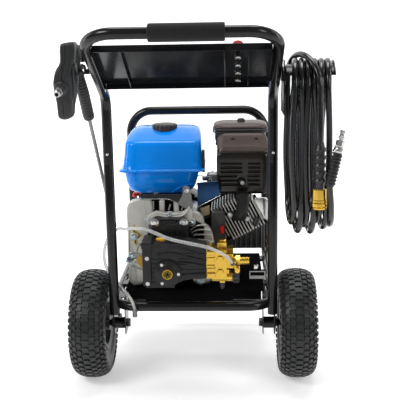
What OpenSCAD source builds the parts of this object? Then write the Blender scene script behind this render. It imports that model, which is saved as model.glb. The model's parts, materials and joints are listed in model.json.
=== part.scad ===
// Petrol pressure washer on two pneumatic tyres: tube frame, 420 cc class engine, gear-driven
// brass-head plunger pump, pull-off handle with nozzle panel, spray gun, hose hank and siphon hose.
// Millimetres. X right, Y forward (away from the user), Z up, floor at 0.

/* [Wheels] */
// outer radius of the tyre
tyre_r = 165; // [140:1:180]
// width of the tyre
tyre_w = 106; // [90:1:125]
// distance from the middle to the tyre centre plane
wheel_x = 308; // [300:1:330]

/* [Frame] */
// radius of every frame tube
tube_r = 14.5; // [12:0.5:15]
// height of the base ring's centre line
ring_z = 245; // [235:1:255]
// height of the front hoop's centre line
hoop_z = 762; // [720:1:800]
// height of the handle joint
joint_z = 668; // [660:1:675]

/* [Handle] */
// height of the bend in the handle
knee_z = 856; // [840:1:870]
// slope of the handle above the horizontal, degrees
slope_a = 28; // [24:1:32]
// length of the sloping part
slope_len = 385; // [360:5:400]

/* [Hidden] */
side_x = 234;
post_y = -60;
rear_y = -78;
front_y = 470;
bend_r = 75;
shaft_x = -70;
shaft_z = 400;
pump_z = 352;
cyl_a = 15;
orig_x = 6;
orig_y = (front_y + tube_r + post_y - slope_len * cos(slope_a) - 22) / 2;

// ---------- helpers ----------
module place() translate([-orig_x, -orig_y, 0]) children();
module both() { children(); mirror([1, 0, 0]) children(); }
module along_y(y0, y1, r) translate([0, y0, 0]) rotate([-90, 0, 0]) cylinder(h = y1 - y0, r = r, $fn = 48);
module along_x(x0, x1, r) translate([x0, 0, 0]) rotate([0, 90, 0]) cylinder(h = x1 - x0, r = r, $fn = 48);
module hex_y(y0, y1, r) translate([0, y0, 0]) rotate([-90, 0, 0]) cylinder(h = y1 - y0, r = r, $fn = 6);
module hex_x(x0, x1, r) translate([x0, 0, 0]) rotate([0, 90, 0]) cylinder(h = x1 - x0, r = r, $fn = 6);

// a round bar from p to q
module bar(p, q, r) {
    d = q - p;
    len = norm(d);
    translate(p)
        rotate([0, acos(d[2] / len), atan2(d[1], d[0])])
            cylinder(h = len, r = r, $fn = 32);
}
// a chain of round bars with ball corners
module chain(pts, r) {
    for (i = [0 : len(pts) - 2]) bar(pts[i], pts[i + 1], r);
    for (p = pts) translate(p) sphere(r = r * 1.03, $fn = 32);
}
// a tube bend in the XY plane that starts at the origin along +X and turns left by a
module bend(rad, a, r) translate([0, rad, 0]) rotate([0, 0, -90]) rotate_extrude(angle = a, $fn = 96)
    translate([rad, 0]) circle(r = r, $fn = 48);
// a box with rounded vertical corners, exact
module rounded(w, d, h, r) {
    translate([r, 0, 0]) cube([w - 2 * r, d, h]);
    translate([0, r, 0]) cube([w, d - 2 * r, h]);
    for (x = [r, w - r]) for (y = [r, d - r]) translate([x, y, 0]) cylinder(h = h, r = r, $fn = 32);
}
// a rounded outline standing in the XZ plane, extruded along Y
module standing(x0, z0, w, h, y0, y1, r)
    translate([x0, y1, z0]) rotate([90, 0, 0]) rounded(w, h, y1 - y0, r);
module bolt_y(x, y, z, r) translate([x, 0, z]) {
    hex_y(y - r * 0.7, y, r);
    along_y(y - 0.8 - r * 0.1, y, r * 1.25);
}
function unit(v) = v / norm(v);
// a swept round tube of n sides through pts, for the flexible hoses
module sweep(pts, r, n) {
    m = len(pts);
    tan = [for (i = [0 : m - 1]) unit(pts[min(i + 1, m - 1)] - pts[max(i - 1, 0)])];
    function frames(i, s) = i == m ? s :
        let (p = s[i - 1], q = unit(p - (p * tan[i]) * tan[i])) frames(i + 1, concat(s, [q]));
    seed = abs(tan[0][0]) < 0.8 ? [1, 0, 0] : [0, 1, 0];
    u = frames(1, [unit(seed - (seed * tan[0]) * tan[0])]);
    ring = [for (i = [0 : m - 1]) for (k = [0 : n - 1])
        let (a = 360 * k / n, v = cross(tan[i], u[i])) pts[i] + r * (cos(a) * u[i] + sin(a) * v)];
    walls = [for (i = [0 : m - 2]) for (k = [0 : n - 1])
        [i * n + k, (i + 1) * n + k, (i + 1) * n + (k + 1) % n, i * n + (k + 1) % n]];
    tri = [for (w = walls) for (t = [[w[0], w[1], w[2]], [w[0], w[2], w[3]]]) t];
    caps = [[for (k = [0 : n - 1]) k], [for (k = [n - 1 : -1 : 0]) (m - 1) * n + k]];
    polyhedron(points = ring, faces = concat(tri, caps));
}
// points of a smooth curve through the route points
function curve(p, k) = [for (i = [0 : len(p) - 2]) for (j = [0 : k - 1])
    let (t = j / k, a = p[max(i - 1, 0)], b = p[i], c = p[i + 1], d = p[min(i + 2, len(p) - 1)])
    0.5 * (2 * b + (c - a) * t + (2 * a - 5 * b + 4 * c - d) * t * t + (3 * b - a - 3 * c + d) * t * t * t)];
function full(p, k) = concat(curve(p, k), [p[len(p) - 1]]);

// ---------- frame ----------
module ring_and_hoop() {
    len_side = front_y - bend_r - rear_y - bend_r;
    span = side_x - bend_r;
    translate([-span, rear_y, ring_z]) rotate([0, 90, 0]) cylinder(h = 2 * span, r = tube_r, $fn = 48);
    both() {
        translate([span, rear_y, ring_z]) bend(bend_r, 90, tube_r);
        translate([side_x, rear_y + bend_r, ring_z]) rotate([-90, 0, 0])
            cylinder(h = len_side, r = tube_r, $fn = 48);
        translate([side_x, front_y - bend_r, ring_z]) rotate([0, 0, 90]) rotate([90, 0, 0])
            bend(bend_r, 90, tube_r);
        translate([side_x, front_y, ring_z + bend_r])
            cylinder(h = hoop_z - ring_z - 2 * bend_r, r = tube_r, $fn = 48);
        translate([span, front_y, hoop_z]) rotate([-90, 0, 0]) bend(bend_r, 90, tube_r);
    }
    translate([-span, front_y, hoop_z]) rotate([0, 90, 0]) cylinder(h = 2 * span, r = tube_r, $fn = 48);
}
module engine_studs(z, h, r) for (x = [-174, 34]) for (y = [110, 215])
    translate([x, y, z]) cylinder(h = h, r = r, $fn = 32);
module base_frame() place() color("#15161a") {
    ring_and_hoop();
    both() {
        difference() {
            union() {
                translate([side_x, post_y, 216]) cylinder(h = joint_z - 216, r = tube_r, $fn = 48);
                translate([side_x, post_y, joint_z - 1]) cylinder(h = 73, r = 12.2, $fn = 48);
            }
            translate([side_x, post_y, joint_z - 20]) cylinder(h = 93, r = 10, $fn = 48);
            translate([side_x, post_y - 20, 698]) rotate([-90, 0, 0]) cylinder(h = 20, r = 4.8, $fn = 32);
        }
        // axle brackets: two plates and the sleeve that they carry
        difference() {
            union() {
                translate([240, -34, 140]) cube([4, 68, 104]);
                translate([206, -34, 140]) cube([3, 68, 118]);
                translate([206, -34, 255]) cube([28, 68, 3]);
                translate([0, 0, tyre_r]) along_x(206, 247, 17.5);
            }
            translate([0, 0, tyre_r]) along_x(200, 250, 9.6);
        }
        // struts down to the front foot bar
        translate([side_x, 400, 84]) cylinder(h = ring_z - 84, r = 12, $fn = 48);
        // a turned-down end of the foot bar
        translate([270, 400, 84]) rotate([-90, 0, 0]) bend(30, 90, 12.5);
        translate([300, 400, 22]) cylinder(h = 33, r = 12.5, $fn = 48);
    }
    translate([0, 400, 84]) along_x(-270, 270, 12.5);
    // cross members under the deck
    difference() {
        for (y = [90, 195, 355]) translate([-side_x, y, 249]) cube([2 * side_x, 40, 9.6]);
        engine_studs(245, 20, 5.1);
    }
}
module deck_plate() place() color("#15161a") difference() {
    union() {
        translate([-212, 15, 259]) cube([424, 400, 3]);
        translate([-204, 15, 233]) cube([408, 3, 29]);
        for (x = [-212, 209]) translate([x, 240, 244]) cube([3, 110, 16]);
    }
    engine_studs(250, 20, 5.5);
    translate([-40, 140, 250]) cube([80, 130, 20]);
}
module rubber_feet_and_mounts() place() color("#0d0d0e") {
    both() difference() {
        translate([300, 400, 0]) cylinder(h = 40, r = 19, $fn = 48);
        translate([300, 400, 22]) cylinder(h = 30, r = 12.5, $fn = 48);
    }
    difference() {
        union() {
            engine_studs(262, 7, 20);
            engine_studs(262, 23, 15);
            engine_studs(279, 6, 20);
        }
        engine_studs(250, 50, 5.1);
    }
}
module stub_axles() place() color("#8d9094") both() {
    translate([0, 0, tyre_r]) {
        along_x(200, 366, 9.5);
        along_x(247.4, 254, 13);
        hex_x(362.4, 372, 14);
        hex_x(196, 205.7, 14);
    }
}
module wheel_rim() {
    translate([wheel_x, 0, tyre_r]) difference() {
        union() {
            rotate([0, 90, 0]) rotate_extrude($fn = 96) polygon([[66, -42], [82, -46], [82, -43],
                [70, -38], [62, -12], [62, 12], [70, 38], [82, 43], [82, 46], [66, 42], [58, 13],
                [58, -13]]);
            rotate([0, 90, 0]) rotate_extrude($fn = 96) polygon([[21, -1.5], [40, -1.5], [48, 8],
                [59, 8], [59, 11], [46, 11], [38, 1.5], [21, 1.5]]);
            along_x(-49, 49, 23);
        }
        along_x(-60, 60, 17);
        for (a = [0 : 60 : 300]) rotate([a, 0, 0]) translate([0, 31, 0]) along_x(-5, 5, 5);
    }
    // two ball bearings in the hub
    for (x = [-49, 37]) translate([wheel_x + x, 0, tyre_r]) difference() {
        along_x(0, 12, 17);
        along_x(-1, 13, 9.55);
    }
    // valve stem
    translate([wheel_x, 0, tyre_r]) rotate([40, 0, 0]) translate([0, 0, 50]) bar([12, 0, 12], [34, 0, 2], 3);
}
module wheel_tyre() {
    h = tyre_w / 2;
    translate([wheel_x, 0, tyre_r]) difference() {
        rotate([0, 90, 0]) rotate_extrude($fn = 96) polygon([[83, -37], [88, -46], [106, -h + 1],
            [124, -h], [142, -h + 3], [154, -h + 10], [161, -h + 19], [tyre_r, -20], [tyre_r, 20],
            [161, h - 19], [154, h - 10], [142, h - 3], [124, h], [106, h - 1], [88, 46], [83, 37],
            [94, 32], [112, 40], [132, 42], [150, 30], [155, 0], [150, -30], [132, -42],
            [112, -40], [94, -32]]);
        for (x = [-26, -9, 9, 26]) rotate([0, 90, 0]) translate([0, 0, x - 2]) difference() {
            cylinder(h = 4, r = tyre_r + 1, $fn = 96);
            translate([0, 0, -1]) cylinder(h = 6, r = 160, $fn = 96);
        }
    }
}
module wheel_right_rim() place() color("#2a2b2e") wheel_rim();
module wheel_right_tyre() place() color("#0e0e0f") wheel_tyre();
module wheel_left_rim() place() color("#2a2b2e") mirror([1, 0, 0]) wheel_rim();
module wheel_left_tyre() place() color("#0e0e0f") mirror([1, 0, 0]) wheel_tyre();

// ---------- engine ----------
module on_shaft() translate([shaft_x, 0, shaft_z]) children();
// the cylinder's axis becomes +X of the children
module on_cylinder() on_shaft() translate([0, 155, 0]) rotate([0, -cyl_a, 0]) children();
module engine_crankcase() place() color("#9ea0a2") difference() {
    union() {
        standing(-160, 290, 180, 205, 80.3, 232, 30);
        translate([-188, 88, 285.2]) rounded(236, 150, 14, 12);
        on_cylinder() translate([40, -52, -56]) cube([58, 104, 112]);
        on_shaft() along_y(200, 244, 45);
    }
    on_shaft() along_y(70, 222, 62);
    on_shaft() along_y(215, 250, 26);
    on_cylinder() along_x(0, 100, 44);
    on_cylinder() translate([98, -70, -70]) cube([90, 140, 140]);
    engine_studs(280, 25, 5.1);
}
module crankcase_cover() place() color("#c4c6c8") difference() {
    union() {
        standing(-172, 290, 204, 205, 56, 80, 30);
        standing(-204, 300, 70, 186, 58, 80, 30);
        standing(-205, 268, 70, 60, 60, 80, 20);
        on_shaft() along_y(46, 62, 60);
        for (a = [20 : 40 : 340]) on_shaft() rotate([0, a, 0]) translate([60, 54, -3]) cube([26, 5, 6]);
    }
    on_shaft() along_y(40, 90, 31);
    on_shaft() along_y(64, 90, 58);
}
module engine_cylinder() place() color("#85878a") difference() {
    union() {
        on_cylinder() along_x(98.2, 236, 56);
        for (i = [0 : 11]) on_cylinder() translate([114 + i * 10, -66, -66]) cube([4, 132, 132]);
        on_cylinder() translate([236, -66, -62]) cube([8, 132, 124]);
        for (i = [0 : 3]) on_cylinder() translate([249 + i * 9, -62, -60]) cube([4, 124, 120]);
        on_cylinder() translate([240, -46, -46]) cube([44, 92, 92]);
        on_cylinder() translate([284, -44, -50]) cube([22, 88, 100]);
    }
    on_cylinder() along_x(90, 234, 44);
}
module engine_fin_fan() for (a = [0 : 24 : 336]) rotate([0, a, 0]) translate([52, 275, -2]) cube([44, 18, 4]);
module crankshaft() place() color("#7c7f83") on_shaft() {
    along_y(9, 34, 13);
    along_y(33.9, 96, 15);
    along_y(200, 334, 17);
    along_y(95, 122, 40);
    along_y(182, 204, 40);
    rotate([0, -cyl_a, 0]) translate([0, 0, 30]) along_y(115, 190, 16);
    rotate([0, -cyl_a, 0]) for (y = [100, 184]) translate([-28, y, -54]) cube([56, 18, 58]);
    along_y(252, 276, 100);
    engine_fin_fan();
    along_y(290, 322, 42);
    // pinion that drives the pump
    rotate([0, 11.25, 0]) gear(16, 10, 33);
}
// a spur gear of module 2 along Y
module gear(n, y0, y1) {
    r = n;
    along_y(y0, y1, r - 2.6);
    for (i = [0 : n - 1]) rotate([0, i * 360 / n, 0]) translate([0, y1, 0]) rotate([90, 0, 0])
        linear_extrude(height = y1 - y0) polygon([[r - 4, -1.5], [r - 4, 1.5], [r, 1.1], [r + 1.2, 0.6],
            [r + 1.2, -0.6], [r, -1.1]]);
}
module piston() place() color("#a9abad") on_cylinder() difference() {
    along_x(140, 196, 43.95);
    along_x(130, 188, 37);
    translate([158, 0, 0]) along_y(-30, 30, 10);
}
module blower_housing() place() color("#1b1c1e") difference() {
    union() {
        on_shaft() along_y(245, 345, 128);
        on_cylinder() translate([80, 92, -70]) cube([190, 10, 140]);
        standing(-190, 330, 60, 190, 250, 330, 25);
    }
    on_shaft() along_y(240, 342, 110);
    on_shaft() along_y(330, 360, 75);
}
module recoil_cover() place() color("#1b1c1e") difference() {
    union() {
        on_shaft() along_y(345.3, 378, 105);
        on_shaft() along_y(378, 396, 88);
        translate([-190, 352, 478]) cube([40, 24, 26]);
    }
    on_shaft() along_y(340, 385, 80);
    for (a = [0 : 30 : 330]) on_shaft() rotate([0, a, 0]) translate([50, 380, -5]) cube([26, 20, 10]);
    translate([0, 364, 491]) along_x(-200, -120, 4);
}
module starter_grip() place() color("#a3221d") translate([0, 364, 491]) {
    along_x(-206, -190.3, 9);
    translate([-212, 0, 0]) along_y(-24, 24, 8);
    for (y = [-24, 24]) translate([-212, y, 0]) sphere(r = 8.3, $fn = 32);
}
module starter_rope() place() color("#d9d6cc") translate([0, 364, 491]) along_x(-190.1, -130, 2);
module fuel_tank() place() color("#0b3fb5") difference() {
    union() {
        translate([-236, 130, 606]) rounded(268, 230, 6, 28);
        translate([-226, 138, 530]) rounded(246, 212, 78, 34);
        translate([-228, 136, 611]) rounded(252, 218, 74, 34);
        translate([-218, 146, 684]) rounded(232, 198, 29, 40);
        translate([-208, 156, 712]) rounded(214, 178, 10, 44);
        translate([-96, 245, 715]) cylinder(h = 10, r = 29, $fn = 48);
    }
    translate([-220, 144, 536]) rounded(234, 200, 142, 30);
    translate([-96, 245, 660]) cylinder(h = 80, r = 25, $fn = 48);
    translate([-96, 245, 718]) difference() {
        cylinder(h = 10, r = 39.5, $fn = 48);
        cylinder(h = 10, r = 29, $fn = 48);
    }
}
module fuel_cap() place() color("#1d1714") translate([-96, 245, 0]) difference() {
    union() {
        translate([0, 0, 720]) cylinder(h = 24, r = 36, $fn = 48);
        translate([0, 0, 744]) cylinder(h = 4, r = 31, $fn = 48);
    }
    translate([0, 0, 719]) cylinder(h = 8, r = 31, $fn = 48);
    for (a = [0 : 20 : 340]) rotate([0, 0, a]) translate([36.5, 0, 715]) cylinder(h = 25, r = 3, $fn = 24);
}
module air_cleaner_base() place() color("#2a2623") difference() {
    union() {
        translate([66, 182, 681.5]) rounded(158, 118, 12, 24);
        translate([36, 190, 644.3]) rounded(34.5, 40, 46, 10);
        translate([148, 225, 690]) cylinder(h = 48, r = 5, $fn = 32);
    }
    translate([76, 190, 685]) rounded(138, 24, 20, 10);
}
module air_cleaner_cover() place() color("#4b453f") difference() {
    union() {
        translate([60, 182, 694]) rounded(170, 124, 38, 30);
        translate([68, 190, 730]) rounded(154, 108, 14, 34);
        for (x = [85, 105, 185, 205]) translate([x, 190, 742]) cube([6, 108, 5]);
    }
    translate([68, 190, 693]) rounded(154, 108, 34, 24);
    translate([148, 225, 680]) cylinder(h = 80, r = 6, $fn = 32);
}
module air_cleaner_knob() place() color("#2b2927") translate([148, 225, 0]) difference() {
    union() {
        translate([0, 0, 744.4]) cylinder(h = 12, r = 13, $fn = 48);
        for (a = [0, 90]) rotate([0, 0, a]) translate([-17, -3, 746]) cube([34, 6, 9]);
    }
    translate([0, 0, 744]) cylinder(h = 8, r = 5.2, $fn = 32);
}
module carburettor() place() color("#b3b5b7") {
    translate([35, 184, 556]) rounded(35, 44, 60, 10);
    translate([52.5, 206, 522]) cylinder(h = 36, r = 16, $fn = 48);
    translate([34, 176, 610]) cube([37, 60, 5]);
    translate([52.5, 206, 614]) cylinder(h = 30, r = 16.5, $fn = 48);
}
module muffler() place() color("#3a3734") {
    translate([96, 162, 552]) rounded(116, 82, 108, 26);
    translate([150, 200, 527]) cylinder(h = 30, r = 20, $fn = 48);
    translate([0, 226, 600]) along_x(205, 226, 14);
}
module muffler_guard() place() color("#151617") difference() {
    union() {
        translate([72, 141, 534]) rounded(160, 150, 146, 16);
        translate([76, 146, 676]) rounded(152, 32, 45, 14);
    }
    translate([74.5, 143.5, 530]) rounded(155, 180, 147, 14);
    translate([78.5, 148.5, 670]) rounded(147, 27, 48.5, 12);
    for (z = [582, 592, 602, 612, 622, 632]) for (x = [84, 166])
        translate([x, 130, z]) cube([x < 100 ? 62 : 38, 40, 5]);
    for (z = [560, 584, 608, 632]) translate([215, 165, z]) cube([40, 100, 9]);
    translate([200, 210, 575]) cube([50, 46, 50]);
}
module engine_brackets() place() color("#6f7275") {
    translate([-50, 116, 496]) cube([66, 3, 33.7]);
    translate([-50, 116, 526.7]) cube([66, 30, 3]);
    translate([16, 84, 484]) cube([58, 2.5, 82]);
    translate([16, 84, 563.5]) cube([58, 40, 2.5]);
    translate([198, 84, 425]) cube([30, 2.5, 95]);
    translate([225.5, 84, 425]) cube([2.5, 24, 95]);
    translate([-196, 150, 498]) cube([40, 60, 4]);
    translate([-196, 150, 498]) cube([4, 60, 31.6]);
}
module oil_caps() place() color("#c8a21c") {
    translate([-160, 0, 348]) along_y(38, 56, 15);
    translate([-160, 35, 348]) rotate([-90, 0, 0]) cylinder(h = 4, r = 18, $fn = 8);
    translate([-92, -50, 432.2]) cylinder(h = 8, r = 11, $fn = 32);
    translate([-92, -50, 439]) cylinder(h = 5, r = 14, $fn = 8);
}
module engine_wiring() place() color("#121212") {
    chain([[-178, 96, 470], [-206, 92, 460], [-212, 100, 420], [-206, 104, 380], [-178, 104, 360]], 4);
    chain([[-178, 110, 478], [-214, 112, 468], [-220, 116, 430], [-214, 120, 390], [-178, 118, 370]], 3);
    on_cylinder() bar([262, -66, -8], [254, -92, -16], 9);
    on_cylinder() chain([[254, -92, -16], [225, -97, -34], [190, -95, -58]], 3.5);
}
module switch_box() place() color("#1a1a1b") difference() {
    standing(54, 402, 42, 92, 60, 82, 8);
    standing(80, 428, 14, 26, 50, 70, 3);
}
module switch_rocker() place() color("#b02018") translate([87, 0, 441]) {
    translate([-5.5, 57, -11]) cube([11, 9, 22]);
    translate([0, 64, 0]) along_x(-6.5, 6.5, 2);
}
module throttle_lever() place() color("#8a8d90") translate([10, 170, 520]) {
    cylinder(h = 3, r = 11, $fn = 32);
    translate([0, -6, 0]) cube([52, 12, 3]);
    translate([48, 0, -2]) cylinder(h = 18, r = 7, $fn = 32);
}
module bearings() place() color("#c9ccd0") {
    on_shaft() difference() {
        along_y(62, 80, 31);
        along_y(60, 82, 15.05);
    }
    on_shaft() difference() {
        along_y(222, 240, 26);
        along_y(220, 245, 17.05);
    }
    translate([shaft_x, 0, pump_z]) {
        difference() {
            along_y(-92, -80, 24);
            along_y(-95, -78, 12.55);
        }
        difference() {
            along_y(-10, -1, 24);
            along_y(-12, 5, 12.55);
        }
    }
}

// ---------- pump ----------
module gear_housing() place() color("#17181a") difference() {
    union() {
        standing(shaft_x - 54, 390, 108, 98, 6, 45.7, 16);
        translate([shaft_x, 0, pump_z]) along_y(-1.7, 45.7, 57);
        standing(shaft_x - 54, pump_z, 108, 80, 6, 45.7, 2);
        on_shaft() along_y(30, 45.7, 76);
        for (x = [-29, 26]) translate([shaft_x + x, -1.7, 438]) cube([3, 10, 48]);
        translate([shaft_x - 20, -1.7, 438]) cube([40, 10, 46]);
    }
    on_shaft() along_y(8.5, 50, 26);
    translate([shaft_x, 0, pump_z]) along_y(-5, 40, 49);
    translate([shaft_x - 20, 8.5, pump_z]) cube([40, 40, 66]);
}
module pump_crankcase() place() color("#17181a") difference() {
    union() {
        translate([0, -2, 0]) rotate([90, 0, 0]) linear_extrude(height = 90) polygon([[-142, 312],
            [-112, 312], [-60, 314], [-22, 330], [4, 334], [42, 335], [42, 419], [8, 430], [-21, 438],
            [-71, 441], [-112, 438], [-118, 442], [-138, 442], [-142, 436]]);
        for (z = [320 : 14 : 390]) translate([-116, -95, z]) cube([30, 8, 4]);
        for (z = [342 : 16 : 406]) translate([-38, -95, z]) cube([78, 8, 4]);
        for (y = [-82 : 14 : -10]) translate([-66, y, 424]) cube([40, 4, 19]);
        translate([-136, -80, 303]) cube([84, 66, 12]);
        translate([shaft_x, 0, pump_z]) along_y(-96, -90, 41);
    }
    translate([shaft_x, 0, pump_z]) along_y(-97, 1, 33);
    for (y = [-68, -46, -24]) translate([0, y, pump_z]) along_x(-60, 50, 9.7);
    translate([-92, -50, 418]) cylinder(h = 30, r = 8, $fn = 32);
    translate([-92, -50, 432]) cylinder(h = 30, r = 16, $fn = 32);
}
module pump_cover() place() color("#202124") translate([shaft_x, 0, pump_z]) difference() {
    union() {
        along_y(-102, -96.2, 38);
        along_y(-106, -102, 26);
        along_y(-96.3, -92.2, 32.9);
    }
    along_y(-108, -104, 14);
}
module sight_glass() place() color("#c9973a") translate([shaft_x, 0, pump_z]) {
    difference() {
        along_y(-109, -104, 14);
        along_y(-110, -107, 9);
    }
    along_y(-108, -107, 8.9);
}
module pump_head() place() color("#b8863b") difference() {
    union() {
        translate([42.3, -92, 335]) cube([58, 84, 84]);
        for (z = [337 : 21 : 400]) translate([44, -97, z]) cube([22, 8, 17]);
        translate([66, -50, 382]) cube([54, 40, 30]);
        translate([58, -80, 362]) cube([62, 46, 42]);
        translate([74, -72, 412]) cube([26, 44, 24]);
        translate([87, -50, 432]) cylinder(h = 9, r = 12, $fn = 6);
        for (y = [-66, -24]) translate([0, y, 350]) hex_x(98, 107, 12);
        for (z = [352, 392]) translate([82, 0, z]) hex_y(-99, -90, 11);
        translate([0, -60, 332]) along_x(58, 116.8, 15);
        translate([0, -60, 332]) along_x(110, 121, 9.5);
        translate([80, -60, 311]) cube([14, 12, 30]);
    }
    for (y = [-68, -46, -24]) translate([0, y, pump_z]) along_x(40, 76, 9.6);
    translate([0, -60, 332]) along_x(80, 126, 7);
    translate([0, -60, 379]) along_x(90, 125, 8);
}
module pump_outlet() place() color("#c39243") {
    translate([0, -60, 379]) difference() {
        union() {
            along_x(120.3, 128, 13);
            hex_x(127, 139, 16);
            along_x(139, 166, 11);
        }
        along_x(118, 170, 6);
    }
    // injector body and hose barb on its side
    translate([131, -60, 361]) rotate([90, 0, 0]) cylinder(h = 44, r = 7, $fn = 32);
    translate([131, -98, 361]) rotate([0, -35, 0]) {
        cylinder(h = 12, r = 5.5, $fn = 6);
        translate([0, 0, 12]) cylinder(h = 8, r = 3, $fn = 32);
        translate([0, 0, 14]) cylinder(h = 3, r1 = 3.6, r2 = 3, $fn = 32);
    }
}
module inlet_swivel() place() color("#1a1a1a") translate([0, -60, 332]) difference() {
    union() {
        along_x(117.2, 137, 17.5);
        for (a = [0 : 30 : 330]) rotate([a, 0, 0]) translate([119, -2, 16]) cube([16, 4, 4]);
    }
    along_x(121, 140, 13.5);
    along_x(115, 125, 9.55);
}
module thermal_valve() place() color("#111111") {
    translate([87, -54, 297]) cylinder(h = 13.8, r = 8, $fn = 32);
    translate([87, -54, 292]) cylinder(h = 5.5, r = 5, $fn = 6);
}
module pump_plungers() place() color("#e9e6dc") for (y = [-68, -46, -24])
    translate([0, y, pump_z]) along_x(-22, 68, 9);
module pump_shaft() place() color("#7c7f83") translate([shaft_x, 0, pump_z]) {
    along_y(-91, 34, 12.5);
    for (i = [0 : 2]) rotate([0, i * 120, 0]) translate([6, 0, 0])
        along_y(-76 + i * 22, -60 + i * 22, 21);
    gear(32, 10, 32);
}
module bolts() place() color("#c9cbcd") {
    for (x = [-42, 42]) bolt_y(shaft_x + x, 5.9, 472, 9);
    for (p = [[-112, 484], [-14, 484], [-160, 440], [-164, 380], [12, 320]])
        bolt_y(p[0], 55.9, p[1], 7);
    for (a = [0 : 120 : 240])
        translate([shaft_x + 32 * cos(a), 0, pump_z + 32 * sin(a)]) hex_y(-106, -102.2, 5);
    for (p = [[-129, 397], [-129, 321]]) translate([p[0], 0, p[1]]) along_y(-98, -92.1, 6);
    for (y = [-84, -12]) translate([50, y, 419.2]) cylinder(h = 6, r = 5.5, $fn = 6);
    engine_studs(245, 62, 5);
    for (x = [-174, 34]) for (y = [110, 215]) for (z = [241, 299.4])
        translate([x, y, z]) cylinder(h = 7.6, r = 8, $fn = 6);
    translate([150, 140.8, 570]) rotate([90, 0, 0]) cylinder(h = 3, r = 6, $fn = 32);
    translate([-36, 0, 512]) hex_y(111, 115.9, 7);
}

// ---------- handle ----------
module slope() translate([0, post_y, knee_z]) rotate([-slope_a, 0, 0]) children();
module handle_tube() place() color("#15161a") {
    turn = 90 - slope_a;
    cut = 60 * tan(turn / 2);
    both() difference() {
        union() {
            translate([side_x, post_y, joint_z + 0.3])
                cylinder(h = knee_z - cut - joint_z - 0.3, r = tube_r, $fn = 48);
            translate([side_x, post_y, knee_z - cut]) rotate([180, -90, 0]) bend(60, turn, tube_r);
            slope() translate([side_x, -cut, 0]) rotate([90, 0, 0])
                cylinder(h = slope_len - cut - bend_r, r = tube_r, $fn = 48);
            slope() translate([side_x, -slope_len + bend_r, 0]) rotate([0, 0, -90]) mirror([0, 1, 0])
                bend(bend_r, 90, tube_r);
            // thin collars over the tube's tangent points
            translate([side_x, post_y, knee_z - cut - 2]) cylinder(h = 4, r = tube_r + 0.1, $fn = 48);
            slope() for (y = [-cut, -slope_len + bend_r]) translate([side_x, y + 2, 0]) rotate([90, 0, 0])
                cylinder(h = 4, r = tube_r + 0.1, $fn = 48);
            slope() translate([0, -slope_len, 0]) along_x(side_x - bend_r - 2, side_x - bend_r + 2, tube_r + 0.1);
        }
        translate([side_x, post_y, joint_z - 5]) cylinder(h = 90, r = 12.5, $fn = 48);
        translate([side_x, post_y - 20, 698]) rotate([-90, 0, 0]) cylinder(h = 20, r = 4.5, $fn = 32);
    }
    slope() translate([0, -slope_len, 0]) along_x(-side_x + bend_r, side_x - bend_r, tube_r);
}
module foam_grip() place() color("#101011") slope() translate([0, -slope_len, 0]) difference() {
    along_x(-76, 105, 22);
    along_x(-78, 107, tube_r + 0.05);
}
module nozzle_panel() place() color("#121316") slope() difference() {
    union() {
        translate([-216, -326, -3]) cube([432, 224, 2.5]);
        translate([-216, -326, -19]) cube([432, 2.5, 18]);
        translate([-216, -104.5, -19]) cube([432, 2.5, 18]);
        for (x = [-150, 100, 160]) translate([x, -324, -17]) cube([2.5, 220, 15]);
        both() for (y = [-280, -140]) translate([200, y, -3]) cube([19.2, 24, 2.5]);
    }
    for (i = [0 : 3]) translate([135, -303 + i * 45, -10]) cylinder(h = 20, r = 8, $fn = 32);
}
module nozzle(i, tint) place() slope() translate([135, -303 + i * 45, 0]) {
    color(tint) cylinder(h = 14, r = 13, $fn = 32);
    color("#c9cbcd") translate([0, 0, -30]) cylinder(h = 31, r = 5.6, $fn = 32);
    color("#c9cbcd") translate([0, 0, -24]) cylinder(h = 5, r = 7.6, $fn = 32);
}
module nozzle_1() nozzle(0, "#b3201c");
module nozzle_2() nozzle(1, "#d9b421");
module nozzle_3() nozzle(2, "#2e7d3c");
module nozzle_4() nozzle(3, "#e4e4e2");
module saddle() {
    translate([0, -180, 886.7]) difference() {
        union() {
            along_x(260, 382, 61);
            along_x(381.4, 384, 72);
        }
        along_x(255, 390, 57);
        translate([250, -90, -90]) cube([140, 180, 125]);
    }
}
module hangers() place() color("#141416") {
    saddle();
    translate([248.8, -196, 905]) cube([16, 32, 38]);
    // stamped plate that the saddle is welded to
    translate([252, -238, 822]) difference() {
        cube([3, 116, 140]);
        translate([-1, 30, 30]) cube([5, 56, 50]);
    }
    // open ring on the left that the lance drops into, and its arm
    translate([-267, -196, 931]) cube([18.2, 26, 13]);
    along_lance(60) difference() {
        translate([0, 0, -7]) cylinder(h = 14, r = 22, $fn = 48);
        translate([0, 0, -8]) cylinder(h = 16, r = 18, $fn = 48);
        translate([-12, -30, -8]) cube([24, 20, 16]);
    }
}
module along_lance(t) {
    d = unit(lance_dir);
    translate(gun_top + t * lance_dir) rotate([0, acos(d[2]), atan2(d[1], d[0])]) children();
}
module snap_button() {
    translate([side_x, post_y - 16, 698]) rotate([-90, 0, 0]) cylinder(h = 10, r = 4.2, $fn = 32);
    translate([side_x, post_y - 16, 698]) sphere(r = 4.2, $fn = 32);
    translate([side_x - 4.5, post_y - 8.2, 672]) cube([9, 1.2, 32]);
}
module snap_button_right() place() color("#b9bcc0") snap_button();
module snap_button_left() place() color("#b9bcc0") mirror([1, 0, 0]) snap_button();

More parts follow.
